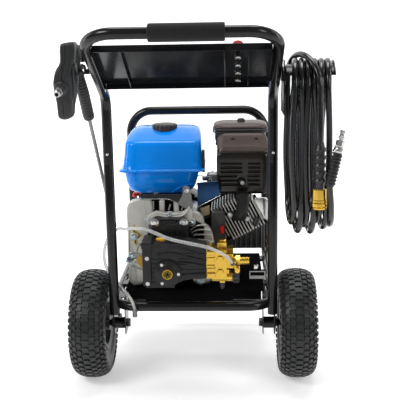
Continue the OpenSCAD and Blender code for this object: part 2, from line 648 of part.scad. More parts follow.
// ---------- spray gun ----------
gun_top = [-288, -218, 1000];
lance_dir = [0.065, 0.576, -1];
module gun_body() place() color("#3a3c40") {
    difference() {
        chain([gun_top + 30 * lance_dir, gun_top, [-306, -232, 1000], [-322, -238, 950],
            [-324, -240, 900], [-318, -238, 832]], 19);
        translate([-318, -231.5, 862]) cube([42, 24, 122]);
    }
    bar([-324, -240, 892], [-330, -268, 890], 13);
    bar([-330, -266, 890], [-333, -280, 886], 8.5);
}
module gun_trigger() place() color("#8f9295") {
    translate([-293, -229, 958]) rotate([-90, 0, 0]) cylinder(h = 19, r = 5, $fn = 32);
    chain([[-293, -218, 958], [-295, -222, 930], [-299, -226, 890], [-295, -224, 870]], 4);
}
module lance() place() color("#141415") {
    bar(gun_top + 38 * lance_dir, gun_top + 190 * lance_dir, 15);
    for (i = [0 : 8]) bar(gun_top + (50 + i * 15) * lance_dir, gun_top + (56 + i * 15) * lance_dir, 16.5);
    bar(gun_top + 25 * lance_dir, gun_top + 545 * lance_dir, 5);
    bar(gun_top + 530 * lance_dir, gun_top + 560 * lance_dir, 10);
}

// ---------- flexible hoses ----------
module hose_coil() place() color("#0c0c0d") translate([264, -180, 0]) difference() {
    union() {
        translate([0, 0, 886.7]) along_x(0, 117, 78.3);
        translate([0, 0, 586]) along_x(0, 117, 78.3);
        translate([0, -78.3, 586]) cube([117, 156.6, 300.7]);
    }
    translate([0, 0, 886.7]) along_x(-1, 120, 61.3);
    translate([0, 0, 586]) along_x(-1, 120, 61.3);
    translate([-1, -61.3, 586]) cube([121, 122.6, 300.7]);
}
tail_a = [[342, -246, 935], [342, -262, 905], [342, -273, 870], [342, -279, 820], [342, -279, 757]];
tail_b = [[368, -246, 548], [370, -268, 560], [371, -286, 585], [369, -296, 612], [366, -296, 645]];
module hose_tails() place() color("#0c0c0d") {
    sweep(full(tail_a, 3), 8.5, 12);
    sweep(full(tail_b, 3), 8.5, 12);
}
module hose_couplings() place() color("#b98f3e") {
    translate([342, -279, 0]) {
        translate([0, 0, 637]) cylinder(h = 119.7, r = 15, $fn = 32);
        translate([0, 0, 612]) cylinder(h = 25, r = 18, $fn = 6);
        translate([0, 0, 583]) cylinder(h = 29, r = 19.5, $fn = 48);
    }
    bar([366, -296, 645.3], [386, -296, 735], 13);
    bar([386, -296, 735], [390, -296, 752], 15);
    bar([390, -296, 752], [398, -296, 790], 9);
}
siphon = [[120, -98, 376], [107, -105, 398], [82, -110, 418], [44, -110, 434], [-10, -108, 446],
    [-60, -108, 458], [-100, -104, 474], [-130, -98, 484], [-160, -94, 486], [-190, -74, 480],
    [-218, -34, 470], [-244, -14, 448], [-260, -10, 420], [-266, -12, 390], [-264, -18, 360],
    [-252, -24, 333], [-234, -30, 308], [-214, -42, 290], [-196, -62, 280], [-182, -84, 274],
    [-172, -101, 262], [-168, -106, 246]];
module siphon_hose() place() color("#cfd3d2") {
    sweep(full(siphon, 3), 4.5, 8);
    translate([-168, -106, 222]) cylinder(h = 23.7, r = 7.5, $fn = 32);
}

base_frame();
deck_plate();
rubber_feet_and_mounts();
stub_axles();
bolts();
wheel_left_rim();
wheel_left_tyre();
wheel_right_rim();
wheel_right_tyre();
engine_crankcase();
crankcase_cover();
engine_cylinder();
blower_housing();
recoil_cover();
fuel_tank();
air_cleaner_base();
carburettor();
muffler();
muffler_guard();
engine_brackets();
oil_caps();
engine_wiring();
switch_box();
bearings();
gear_housing();
pump_crankcase();
pump_cover();
sight_glass();
pump_head();
pump_outlet();
thermal_valve();
pump_plungers();
crankshaft();
piston();
pump_shaft();
inlet_swivel();
throttle_lever();
switch_rocker();
fuel_cap();
air_cleaner_cover();
air_cleaner_knob();
starter_grip();
starter_rope();
handle_tube();
foam_grip();
nozzle_panel();
hangers();
snap_button_left();
snap_button_right();
gun_body();
gun_trigger();
lance();
nozzle_1();
nozzle_2();
nozzle_3();
nozzle_4();
hose_coil();
hose_tails();
hose_couplings();
siphon_hose();
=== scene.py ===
# Petrol pressure washer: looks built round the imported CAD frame.
import json
import math

import bmesh
import bpy
from mathutils import Matrix, Vector


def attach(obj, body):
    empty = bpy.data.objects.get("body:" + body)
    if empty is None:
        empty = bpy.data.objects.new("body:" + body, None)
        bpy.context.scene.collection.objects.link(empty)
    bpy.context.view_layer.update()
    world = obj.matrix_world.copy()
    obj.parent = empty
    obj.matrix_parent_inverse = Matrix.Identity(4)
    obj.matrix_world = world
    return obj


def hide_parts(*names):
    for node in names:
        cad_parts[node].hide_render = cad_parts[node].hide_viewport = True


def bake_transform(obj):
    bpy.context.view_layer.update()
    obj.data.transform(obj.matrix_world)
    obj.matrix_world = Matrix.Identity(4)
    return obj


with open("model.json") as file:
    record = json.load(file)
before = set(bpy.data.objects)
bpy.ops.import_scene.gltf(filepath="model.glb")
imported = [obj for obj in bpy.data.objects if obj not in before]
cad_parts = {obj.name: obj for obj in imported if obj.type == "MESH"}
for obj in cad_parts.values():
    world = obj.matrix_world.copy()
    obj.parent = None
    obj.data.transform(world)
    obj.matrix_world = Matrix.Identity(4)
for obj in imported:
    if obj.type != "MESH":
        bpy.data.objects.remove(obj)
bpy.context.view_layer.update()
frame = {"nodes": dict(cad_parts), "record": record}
NODES = frame["nodes"]
ORIGIN_X, ORIGIN_Y = 6.0, 31.2826       # the row frame's origin, in working mm
PANEL_TILT = math.radians(28)           # slope of the nozzle panel
FIN_RAKE = math.radians(27)             # lean of the cylinder's fins


def W(x, y, z):
    """Working millimetres (axle at Y 0, middle of the posts at X 0) to row-frame metres."""
    return Vector(((x - ORIGIN_X) / 1000, (y - ORIGIN_Y) / 1000, z / 1000))


# ---- materials
def node(nt, kind, **inputs):
    n = nt.nodes.new(kind)
    for k, v in inputs.items():
        if k in n.inputs:
            n.inputs[k].default_value = v
    return n


MAT = {}


def overlay(nt, factor, colour, shade):
    """Lays a colour over a shade by a factor."""
    over = nt.nodes.new("ShaderNodeMixRGB")
    over.inputs[2].default_value = (*colour, 1)
    nt.links.new(factor, over.inputs[0])
    nt.links.new(shade, over.inputs[1])
    return over.outputs[0]


def ramp(nt, source, low, high, out_low, out_high):
    """Maps a value from one range to another."""
    r = nt.nodes.new("ShaderNodeMapRange")
    for k, v in enumerate((low, high, out_low, out_high)):
        r.inputs[k + 1].default_value = v
    nt.links.new(source, r.inputs[0])
    return r.outputs[0]


def material(name, colour, rough=0.4, metal=0.0, spread=0.06, scale=40.0, tint=0.1, bump=0.0,
        bump_scale=200.0, coat=0.0, dirt=None, dirt_amount=0.0, spec=0.5, stretch=None, transmission=0.0,
        alpha=1.0, sheen=0.0, edge=None):
    """A procedural finish: base colour that wanders, uneven roughness, fine bump and dust in patches."""
    m = bpy.data.materials.new(name)
    m.use_nodes = True
    nt = m.node_tree
    nt.nodes.clear()
    out = nt.nodes.new("ShaderNodeOutputMaterial")
    b = nt.nodes.new("ShaderNodeBsdfPrincipled")
    nt.links.new(b.outputs[0], out.inputs[0])
    for key, value in (("Metallic", metal), ("Specular IOR Level", spec), ("Coat Weight", coat),
            ("Coat Roughness", 0.08), ("Transmission Weight", transmission), ("Alpha", alpha),
            ("Sheen Weight", sheen)):
        b.inputs[key].default_value = value
    tc = nt.nodes.new("ShaderNodeTexCoord")
    at = tc.outputs["Object"]
    if stretch:
        mp = nt.nodes.new("ShaderNodeMapping")
        mp.inputs["Scale"].default_value = stretch
        nt.links.new(at, mp.inputs[0])
        at = mp.outputs[0]
    big = node(nt, "ShaderNodeTexNoise", Scale=scale, Detail=5.0, Roughness=0.6)
    nt.links.new(at, big.inputs["Vector"])
    mix = nt.nodes.new("ShaderNodeMixRGB")
    low = [c * (1 - tint) for c in colour[:3]]
    high = [min(1, c * (1 + tint)) for c in colour[:3]]
    mix.inputs[1].default_value = (*low, 1)
    mix.inputs[2].default_value = (*high, 1)
    nt.links.new(big.outputs[0], mix.inputs[0])
    shade = mix.outputs[0]
    if dirt:
        patch = node(nt, "ShaderNodeTexNoise", Scale=9.0, Detail=8.0, Roughness=0.7)
        nt.links.new(tc.outputs["Object"], patch.inputs["Vector"])
        shade = overlay(nt, ramp(nt, patch.outputs[0], 0.45, 0.75, 0.0, dirt_amount), dirt, shade)
    if edge:
        geo = nt.nodes.new("ShaderNodeNewGeometry")
        shade = overlay(nt, ramp(nt, geo.outputs["Pointiness"], 0.52, 0.62, 0.0, 0.5), edge, shade)
    nt.links.new(shade, b.inputs["Base Color"])
    uneven = ramp(nt, big.outputs[0], 0.0, 1.0, max(0.02, rough - spread), min(1, rough + spread))
    nt.links.new(uneven, b.inputs["Roughness"])
    if bump:
        fine = node(nt, "ShaderNodeTexNoise", Scale=bump_scale, Detail=4.0, Roughness=0.6)
        nt.links.new(at, fine.inputs["Vector"])
        bp = node(nt, "ShaderNodeBump", Strength=bump, Distance=0.001)
        nt.links.new(fine.outputs[0], bp.inputs["Height"])
        nt.links.new(bp.outputs[0], b.inputs["Normal"])
    MAT[name] = m


GREY = (0.25, 0.23, 0.2)
material("frame_paint", (0.007, 0.007, 0.0075), 0.22, spread=0.04, bump=0.01, coat=0.08, spec=0.3)
material("deck_paint", (0.006, 0.006, 0.007), 0.8, bump=0.02, spec=0.0)
material("panel_paint", (0.006, 0.007, 0.009), 0.16, spread=0.03, bump=0.015, bump_scale=60, coat=0.15,
    spec=0.35)
material("rim_paint", (0.012, 0.012, 0.013), 0.4, bump=0.05, dirt=GREY, dirt_amount=0.05)
material("tyre_rubber", (0.009, 0.01, 0.011), 0.42, bump=0.5, bump_scale=420, dirt=(0.16, 0.15, 0.13),
    dirt_amount=0.06, spec=0.5)
material("black_rubber", (0.008, 0.008, 0.009), 0.36, bump=0.08, bump_scale=300)
material("foam", (0.011, 0.011, 0.012), 0.92, bump=0.9, bump_scale=900, spec=0.25, sheen=0.15)
material("zinc_steel", (0.5, 0.51, 0.52), 0.34, 1.0, spread=0.12, bump=0.1, bump_scale=500,
    dirt=(0.2, 0.17, 0.12), dirt_amount=0.2)
material("zinc_blue", (0.42, 0.52, 0.58), 0.3, 1.0, spread=0.12, bump=0.1, bump_scale=500)
material("bright_steel", (0.6, 0.6, 0.59), 0.2, 1.0, spread=0.08, tint=0.05)
material("cast_aluminium", (0.42, 0.42, 0.41), 0.42, 0.85, spread=0.12, bump=0.5, bump_scale=420,
    dirt=(0.1, 0.09, 0.08), dirt_amount=0.3, edge=(0.7, 0.7, 0.69))
material("cover_aluminium", (0.62, 0.61, 0.56), 0.38, 0.45, spread=0.1, bump=0.35, bump_scale=380,
    dirt=(0.2, 0.19, 0.16), dirt_amount=0.25)
material("machined_steel", (0.45, 0.45, 0.46), 0.28, 1.0, bump=0.1, stretch=(1, 1, 12))
material("black_sheet", (0.012, 0.012, 0.012), 0.36, bump=0.1, bump_scale=240, spec=0.3)
material("guard_sheet", (0.009, 0.006, 0.004), 0.22, spread=0.05, bump=0.08, bump_scale=300, coat=0.15,
    spec=0.4)
material("muffler_steel", (0.06, 0.05, 0.045), 0.55, 0.4, bump=0.3, dirt=(0.16, 0.08, 0.04),
    dirt_amount=0.3)
material("tank_blue", (0.0, 0.25, 0.88), 0.16, spread=0.03, tint=0.03, bump=0.01, bump_scale=40, coat=0.25,
    spec=0.2)
material("cap_plastic", (0.02, 0.015, 0.013), 0.4, bump=0.25, bump_scale=400, edge=(0.06, 0.05, 0.05))
material("black_plastic", (0.018, 0.018, 0.019), 0.42, bump=0.3, bump_scale=520, dirt=GREY,
    dirt_amount=0.05, edge=(0.06, 0.06, 0.06))
material("brown_plastic", (0.085, 0.062, 0.057), 0.42, bump=0.25, bump_scale=420, spec=0.3,
    dirt=(0.18, 0.15, 0.14), dirt_amount=0.12)
material("gun_plastic", (0.014, 0.015, 0.016), 0.4, bump=0.35, bump_scale=650, dirt=(0.14, 0.13, 0.12),
    dirt_amount=0.1, edge=(0.1, 0.1, 0.1))
material("trigger_plastic", (0.035, 0.045, 0.055), 0.4, bump=0.2)
material("grey_bracket", (0.2, 0.2, 0.2), 0.42, 0.7, bump=0.15, dirt=(0.08, 0.07, 0.06), dirt_amount=0.25,
    edge=(0.5, 0.5, 0.5))
material("yellow_plastic", (0.72, 0.4, 0.02), 0.35, tint=0.15, bump=0.08, edge=(0.9, 0.6, 0.1))
material("red_plastic", (0.62, 0.012, 0.01), 0.3, bump=0.08, tint=0.12)
material("pump_paint", (0.009, 0.009, 0.009), 0.36, bump=0.2, bump_scale=360, dirt=(0.08, 0.08, 0.08),
    dirt_amount=0.06, spec=0.3)
material("brass", (0.7, 0.45, 0.07), 0.25, 1.0, spread=0.1, bump=0.12, bump_scale=320,
    dirt=(0.22, 0.11, 0.02), dirt_amount=0.25)
material("aged_brass", (0.16, 0.11, 0.015), 0.35, 0.8, bump=0.1)
material("plunger_ceramic", (0.8, 0.78, 0.72), 0.2)
material("rope_fibre", (0.6, 0.58, 0.52), 0.85, bump=0.9, bump_scale=700)
material("hose_rubber", (0.004, 0.004, 0.005), 0.22, spread=0.05, bump=0.04, bump_scale=160, coat=0.3)
material("clear_hose", (0.72, 0.73, 0.7), 0.22, transmission=0.35, alpha=0.75, coat=0.4, tint=0.15,
    dirt=(0.35, 0.3, 0.2), dirt_amount=0.25)
material("nozzle_red", (0.62, 0.012, 0.01), 0.32, bump=0.08)
material("nozzle_yellow", (0.75, 0.5, 0.03), 0.32, bump=0.08)
material("nozzle_green", (0.02, 0.3, 0.05), 0.32, bump=0.08)
material("nozzle_white", (0.78, 0.78, 0.75), 0.32, bump=0.08)
material("wrap_white", (0.42, 0.43, 0.43), 0.5, bump=0.2, dirt=(0.12, 0.12, 0.12), dirt_amount=0.5)
material("label", (0.55, 0.55, 0.53), 0.4, tint=0.05, dirt=(0.2, 0.2, 0.2), dirt_amount=0.3)
material("wire_yellow", (0.7, 0.55, 0.03), 0.4, bump=0.1)
material("gasket", (0.42, 0.34, 0.2), 0.8, bump=0.6)
material("heat_blue", (0.015, 0.045, 0.11), 0.2, 0.9, bump=0.08, tint=0.5, scale=25.0)
# near-black for painted shade in slots, bores, seams, recesses and gaps behind parts, and for the sight
# glass's spokes
material("black_and_painted_shade", (0.004, 0.004, 0.004), 0.9, spec=0.1)


# ---- building blocks
def put(obj, mat, body="chassis"):
    """Gives an object its finish and the body it rides on."""
    obj.data.materials.clear()
    obj.data.materials.append(MAT[mat])
    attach(obj, body)
    return obj


def link(name, data):
    o = bpy.data.objects.new(name, data)
    bpy.context.scene.collection.objects.link(o)
    return o


def from_lists(name, verts, faces, angle=40):
    """A mesh from points and faces, smooth except at edges sharper than the angle."""
    me = bpy.data.meshes.new(name)
    me.from_pydata([tuple(v) for v in verts], [], faces)
    me.validate()
    bm = bmesh.new()
    bm.from_mesh(me)
    bmesh.ops.recalc_face_normals(bm, faces=bm.faces)
    bm.to_mesh(me)
    bm.free()
    o = link(name, me)
    soften(o, angle)
    return o


def skin(name, rings, closed=True, caps=True, angle=40):
    """Skins rings of points, each ring with the same count."""
    n = len(rings[0])
    verts = [p for r in rings for p in r]
    faces = []
    for i in range(len(rings) - 1):
        for j in range(n if closed else n - 1):
            k = (j + 1) % n
            faces.append((i * n + j, i * n + k, (i + 1) * n + k, (i + 1) * n + j))
    if caps:
        faces.append(tuple(range(n))[::-1])
        faces.append(tuple(range((len(rings) - 1) * n, len(rings) * n)))
    return from_lists(name, verts, faces, angle=angle)


def lathe(name, profile, a, b, segs=40, flutes=0, depth=0.0, angle=35):
    """A turned solid: profile is (distance from a towards b in mm, radius in mm), closed at both ends."""
    a, b = Vector(a), Vector(b)
    w = (b - a).normalized()
    u = w.orthogonal().normalized()
    v = w.cross(u)
    rings = []
    for t, r in profile:
        ring = []
        for i in range(segs):
            th = 2 * math.pi * i / segs
            rr = r * (1 - depth * (0.5 + 0.5 * math.cos(flutes * th))) if flutes and r > 1 else r
            ring.append(a + w * (t / 1000) + (u * math.cos(th) + v * math.sin(th)) * (rr / 1000))
        rings.append(ring)
    return skin(name, rings, angle=angle)


def rounded_ring(x0, x1, y0, y1, r, z, per=7, place=None):
    """Points round a rounded rectangle, in working mm."""
    pts = []
    for cx, cy, s in ((x1 - r, y1 - r, 0), (x0 + r, y1 - r, 90), (x0 + r, y0 + r, 180),
            (x1 - r, y0 + r, 270)):
        for i in range(per):
            t = math.radians(s + 90 * i / (per - 1))
            x, y = cx + r * math.cos(t), cy + r * math.sin(t)
            pts.append(place(x, y, z) if place else W(x, y, z))
    return pts


def block(name, lo, hi, r=2.0, segs=2):
    """A box with rounded edges, in working mm."""
    bm = bmesh.new()
    bmesh.ops.create_cube(bm, size=1)
    a, b = W(*lo), W(*hi)
    for v in bm.verts:
        v.co = Vector(((a[i] + b[i]) / 2 + v.co[i] * (b[i] - a[i]) for i in range(3)))
    bmesh.ops.bevel(bm, geom=bm.edges, offset=r / 1000, segments=segs, profile=0.6, affect="EDGES")
    me = bpy.data.meshes.new(name)
    bm.to_mesh(me)
    bm.free()
    o = link(name, me)
    soften(o)
    return o


def soften(o, angle=35):
    """Smooth shading that keeps edges sharper than the angle."""
    bm = bmesh.new()
    bm.from_mesh(o.data)
    for e in bm.edges:
        e.smooth = len(e.link_faces) == 2 and e.calc_face_angle(0) < math.radians(angle)
    for f in bm.faces:
        f.smooth = True
    bm.to_mesh(o.data)
    bm.free()


def catmull(points, steps):
    """A smooth run through the points."""
    p = [Vector(q) for q in points]
    p = [p[0] * 2 - p[1], *p, p[-1] * 2 - p[-2]]
    out = []
    for i in range(1, len(p) - 2):
        for s in range(steps):
            t = s / steps
            a, b, c, d = p[i - 1], p[i], p[i + 1], p[i + 2]
            out.append(0.5 * ((2 * b) + (c - a) * t + (2 * a - 5 * b + 4 * c - d) * t * t
                + (3 * b - a - 3 * c + d) * t ** 3))
    out.append(p[-2])
    return out


def run(name, points, radius, mat, body="chassis", res=6):
    """A round curve through row-frame points; radius in mm."""
    cu = bpy.data.curves.new(name, "CURVE")
    cu.dimensions = "3D"
    cu.bevel_depth = radius / 1000
    cu.bevel_resolution = res
    cu.use_fill_caps = True
    sp = cu.splines.new("POLY")
    sp.points.add(len(points) - 1)
    for q, c in zip(sp.points, points):
        q.co = (*c, 1)
    sp.use_smooth = True
    return put(link(name, cu), mat, body)


def length_of(points):
    return sum((b - a).length for a, b in zip(points, points[1:]))


def spiral(points, radius, pitch, start=0.0, end=1.0, per=14):
    """Points of a helix wound round a run of points; radius and pitch in mm."""
    total = length_of(points)
    marks, out, walked = [0.0], [], 0.0
    for a, b in zip(points, points[1:]):
        walked += (b - a).length
        marks.append(walked)
    turns = total * (end - start) * 1000 / pitch
    count = int(turns * per)
    u = None
    for i in range(count + 1):
        s = total * (start + (end - start) * i / count)
        k = max(j for j in range(len(marks)) if marks[j] <= s + 1e-9)
        k = min(k, len(points) - 2)
        a, b = points[k], points[k + 1]
        w = (b - a).normalized()
        c = a + w * (s - marks[k])
        u = w.orthogonal().normalized() if u is None else (u - w * u.dot(w)).normalized()
        v = w.cross(u)
        th = 2 * math.pi * turns * i / count
        out.append(c + (u * math.cos(th) + v * math.sin(th)) * radius / 1000)
    return out


# ---- camera and room
cam = link("camera", bpy.data.cameras.new("camera"))
cam.data.sensor_width = 36
cam.data.lens = 71.8
cam.location = (0.1136, -2.3262, 1.0575)
yaw, down, roll = math.radians(2.408), math.radians(12.523), math.radians(-1.0)
cam.rotation_euler = (Matrix.Rotation(yaw, 3, "Z") @ Matrix.Rotation(math.pi / 2 - down, 3, "X")
    @ Matrix.Rotation(roll, 3, "Z")).to_euler()
cam.data.clip_start, cam.data.clip_end = 0.05, 60
bpy.context.scene.camera = cam

white = bpy.data.materials.new("room_white")
white.use_nodes = True
shader = white.node_tree.nodes["Principled BSDF"]
shader.inputs["Base Color"].default_value = (0.93, 0.93, 0.93, 1)
shader.inputs["Roughness"].default_value = 0.85
shader.inputs["Specular IOR Level"].default_value = 0.1
shader.inputs["Emission Color"].default_value = (1, 1, 1, 1)
# the floor curves up into a wall behind the machine
ring = []
for x in (-9.0, 9.0):
    line = [(x, -6, 0), (x, 3.5, 0)]
    for i in range(1, 13):
        t = math.radians(90 * i / 12)
        line.append((x, 3.5 + 2 * math.sin(t), 2 - 2 * math.cos(t)))
    line.append((x, 5.5, 9))
    ring.append([Vector(p) for p in line])
floor = skin("floor", ring, closed=False, caps=False, angle=60)
floor.data.materials.append(white)
# and glows more towards the back, so that no horizon shows
nt = white.node_tree
where = nt.nodes.new("ShaderNodeTexCoord")
split = nt.nodes.new("ShaderNodeSeparateXYZ")
nt.links.new(where.outputs["Object"], split.inputs[0])
nt.links.new(ramp(nt, split.outputs[1], -1.0, 2.5, 0.22, 0.8), shader.inputs["Emission Strength"])


def lamp(name, at, aim, size, power, size_y):
    d = bpy.data.lights.new(name, "AREA")
    d.shape = "RECTANGLE"
    d.size, d.size_y, d.energy = size, size_y, power
    o = link(name, d)
    o.location = at
    o.rotation_euler = (Vector(aim) - Vector(at)).to_track_quat("-Z", "Y").to_euler()


lamp("key", (-2.2, -2.2, 3.0), (0, 0, 0.5), 1.5, 62, 1.1)
lamp("fill", (2.6, -2.6, 2.2), (0, 0, 0.6), 0.9, 26, 1.6)
lamp("top", (0.1, 0.4, 3.4), (0, 0.1, 0.4), 1.8, 42, 1.2)
lamp("strip_left", (-2.6, 0.2, 1.4), (0, 0, 0.7), 0.25, 16, 2.2)
lamp("strip_right", (2.7, 0.3, 1.4), (0, 0, 0.7), 0.25, 16, 2.2)
world = bpy.data.worlds.new("world")
bpy.context.scene.world = world
world.use_nodes = True
sky = world.node_tree.nodes["Background"]
sky.inputs[0].default_value = (1, 1, 1, 1)
sky.inputs[1].default_value = 0.22
bpy.context.scene.view_settings.view_transform = "Standard"
bpy.context.scene.view_settings.look = "None"
bpy.context.scene.view_settings.exposure = 0.0
bpy.context.scene.cycles.max_bounces = 8

# ---- CAD nodes: finish and soft edges
NODE_SLOT = {s["node"]: s["material_slot"] for s in frame["record"]["subparts"]}
EDGE = {"base_frame": 0.0006, "handle_tube": 0, "foam_grip": 0.003, "nozzle_panel": 0.0006,
    "pump_crankcase": 0.0022, "crankcase_cover": 0.0025, "engine_crankcase": 0.0025, "gear_housing": 0.002,
    "pump_head": 0.0012, "blower_housing": 0.003, "recoil_cover": 0.003, "air_cleaner_base": 0.003,
    "muffler": 0.004, "switch_box": 0.002}
for name, obj in NODES.items():
    mat = {"bolts": "zinc_steel", "muffler_guard": "guard_sheet", "stub_axles": "frame_paint"}.get(name,
        NODE_SLOT[name])
    obj.data.materials.clear()
    obj.data.materials.append(MAT[mat])
    width = EDGE.get(name, 0.0007)
    if width:
        weld = obj.modifiers.new("weld", "WELD")
        weld.merge_threshold = 0.00001
        bev = obj.modifiers.new("bevel", "BEVEL")
        bev.width, bev.segments, bev.limit_method = width, 2, "ANGLE"
        bev.angle_limit = math.radians(38)
        bev.use_clamp_overlap = True

# ---- high-pressure hose: seven loops and two tails
HY = -180.0                             # middle of the hank, along Y
TOP, LOW = 886.7, 586.0                 # heights of its upper and lower turns' centres
HR, PITCH = 69.8, 16.75                 # radius of the turns and step from loop to loop
FIRST_X = 272.2


def arc(c_z, r, a0, a1, x0, x1, n):
    """Part of a loop: angles from +Y towards +Z, X moving from x0 to x1."""
    pts = []
    for i in range(n + 1):
        s = i / n
        t = math.radians(a0 + (a1 - a0) * s)
        e = s * s * (3 - 2 * s)
        pts.append((x0 + (x1 - x0) * e, HY + r * math.cos(t), c_z + r * math.sin(t)))
    return pts


def straight(p, q, bow_x, bow_y, n=7):
    """The points between two ends of a run that bows a little."""
    pts = []
    for i in range(1, n):
        s = i / n
        w = math.sin(math.pi * s)
        pts.append((p[0] + (q[0] - p[0]) * s + bow_x * w, p[1] + (q[1] - p[1]) * s + bow_y * w,
            p[2] + (q[2] - p[2]) * s))
    return pts


hose = [(342, -279, 757), (342, -278.5, 790), (342, -275, 830)]
hose += arc(TOP, 86.5, 180, 22, 342, 272, 20)
hose += [(271.5, HY + 84, 900), (271, HY + 81, 872), (270.5, HY + 77, 840), (270, HY + 73.5, 806)]
far = (270, HY + 73.5, 806)
# how far each loop hangs off the mean, and bows to the side
SAG = [10, -14, 2, -16, 14, -4, 4]
DRIFT = [(-4, 0), (3, 5), (-3, 2), (5, 7), (-2, 3), (4, 9), (2, 4)]
for k in range(7):
    x = FIRST_X + PITCH * k
    low = LOW + SAG[k]
    hose += straight(far, (x, HY + HR, low), -7.0 - DRIFT[k][0], 5.0)
    if k < 6:
        hose += arc(low, HR, 0, -180, x, x + PITCH / 2, 16)
        near_top = (x + PITCH / 2, HY - HR, TOP)
        hose += straight((x + PITCH / 2, HY - HR, low), near_top, DRIFT[k][0] * 1.5, DRIFT[k][1])
        hose += arc(TOP, HR, 180, 0, x + PITCH / 2, x + PITCH, 16)
        far = (x + PITCH, HY + HR, TOP)
x = FIRST_X + PITCH * 6
hose += arc(LOW, HR, 0, -90, x, x + PITCH / 4 + 1, 9)
for i in range(1, 11):
    t = math.radians(9 * i)
    hose.append((x + PITCH / 4 + 1 + 1.5 * math.sin(2 * t) - 12.5 * (1 - math.cos(t)),
        HY - 116 * math.sin(t), LOW + SAG[6] - HR + 129 * (1 - math.cos(t))))
hose_path = catmull([W(*p) for p in hose], 2)
hose_obj = run("high_pressure_hose", hose_path, 8.25, "hose_rubber", "pressure_hose", 8)
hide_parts("hose_coil", "hose_tails")


# restrictor A with rings, brass nut and silver ring
def z_at(z):
    return W(342, -279, z)


prof = [(0, 9), (1, 11.5), (8, 12.2)]
for i in range(5):
    z = 14 + i * 20
    prof += [(z, 13.2), (z + 3, 15.6), (z + 7, 17.0), (z + 11, 15.4), (z + 14, 13.0)]
prof += [(114, 11.5), (118, 10.5), (119.5, 8.4)]
restrictor_a = put(lathe("restrictor_a", prof, z_at(637.2), z_at(757), 40), "black_rubber", "pressure_hose")
ring_a = put(lathe("ferrule_a", [(0, 11), (0.8, 13.4), (4, 13.6), (6.5, 13)], z_at(631), z_at(640), 40),
    "bright_steel", "pressure_hose")
nut_a = put(lathe("swivel_nut_a", [(0, 17), (1.5, 18.4), (27, 18.4), (28.5, 17), (29, 13)], z_at(608),
    z_at(640), 12, 6, 0.0), "brass", "pressure_hose")
prof = [(0, 15), (1, 18.5), (5, 19.4), (6.5, 17.6), (8, 19.4), (16, 19.4), (17.5, 17.8), (19, 19.2),
    (25, 19.0), (26, 16)]
collar_a = put(lathe("swivel_collar_a", prof, z_at(583.2), z_at(610), 48, 24, 0.03), "brass",
    "pressure_hose")
# a dark disc of painted shade in the swivel's bore
bore_a = put(lathe("swivel_bore_a", [(0, 13), (1.2, 13)], z_at(582.8), z_at(584.5), 32), "black_and_painted_shade",
    "pressure_hose")
# restrictor B, wound, with ferrule and quick plug
b0, b1 = W(366, -296, 645.3), W(386, -296, 735)
b2, b3 = W(390, -296, 752), W(398, -296, 790)
restrictor_b = put(lathe("restrictor_b", [(0, 9), (2, 10.8), (86, 11.2), (90, 10.5), (91.5, 9)], b0, b1,
    32), "black_rubber", "pressure_hose")
coil_b = run("restrictor_b_coil", spiral([b0, b0.lerp(b1, 0.5), b1], 11.4, 9.0, 0.02, 0.97, 18), 2.6,
    "black_rubber", "pressure_hose", 3)
ferrule_b = put(lathe("ferrule_b", [(0, 11), (1, 13.8), (5, 14.4), (6.5, 13.2), (10, 13.2), (12, 12.2),
    (15, 12.2), (16.5, 11)], b1 - (b2 - b1) * 0.15, b2, 40), "bright_steel", "pressure_hose")
hex_b = put(lathe("plug_hex_b", [(0, 10), (1, 11.6), (12, 11.6), (13.5, 10)], b2 - (b3 - b2) * 0.06, b3, 6,
    0, 0, 20), "bright_steel", "pressure_hose")
plug_b = put(lathe("quick_plug_b", [(0, 6.5), (4, 6.6), (5, 8.6), (9, 8.8), (10.5, 7.2), (13, 6.0),
    (18, 6.0), (20, 8.0), (24, 8.2), (26.5, 6.5), (27, 3)], b2 + (b3 - b2) * 0.28, b3, 36), "bright_steel",
    "pressure_hose")
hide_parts("hose_couplings")

# ---- clear siphon hose with wrap and strainer
SIPHON = [(120, -98, 376), (107, -105, 398), (82, -110, 418), (44, -110, 434), (-10, -108, 446),
    (-60, -108, 458), (-100, -104, 474), (-130, -98, 484), (-160, -94, 486), (-190, -74, 480),
    (-218, -34, 470), (-244, -14, 448), (-260, -10, 420), (-266, -12, 390), (-264, -18, 360),
    (-252, -24, 333), (-234, -30, 308), (-214, -42, 290), (-196, -62, 280), (-182, -84, 274),
    (-172, -101, 262), (-168, -106, 246)]
siphon_path = catmull([W(*p) for p in SIPHON], 6)
for _ in range(40):                     # rounds the last bend above the strainer to four diameters
    siphon_path[100:-1] = [(a + 2 * b + c) / 4 for a, b, c in zip(siphon_path[99:], siphon_path[100:-1],
        siphon_path[101:])]
siphon = run("siphon_hose_clear", siphon_path, 4.5, "clear_hose", "chassis", 6)
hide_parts("siphon_hose")
wrap_1 = run("siphon_wrap", spiral(siphon_path[17:44], 4.9, 4.2, 0, 1, 14), 0.9, "wrap_white", "chassis", 2)
wrap_2 = run("siphon_spring", spiral(siphon_path[92:112], 5.0, 3.4, 0, 1, 14), 0.8, "bright_steel",
    "chassis", 2)
prof = [(0, 4.6), (1, 6.0), (3, 7.2), (8, 7.5), (9, 7.0), (11, 7.5), (13, 7.0), (15, 7.5), (17, 7.0),
    (19, 7.5), (21, 7.4), (23, 6.0), (23.5, 3)]
strainer = put(lathe("siphon_strainer", prof, W(-168, -106, 246), W(-168, -106, 222), 28), "grey_bracket",
    "chassis")
clip = put(lathe("siphon_clip", [(0, 5.2), (1, 6.2), (5, 6.2), (6, 5.2)], W(119, -98.6, 378),
    W(114, -101, 387), 24), "black_plastic", "chassis")


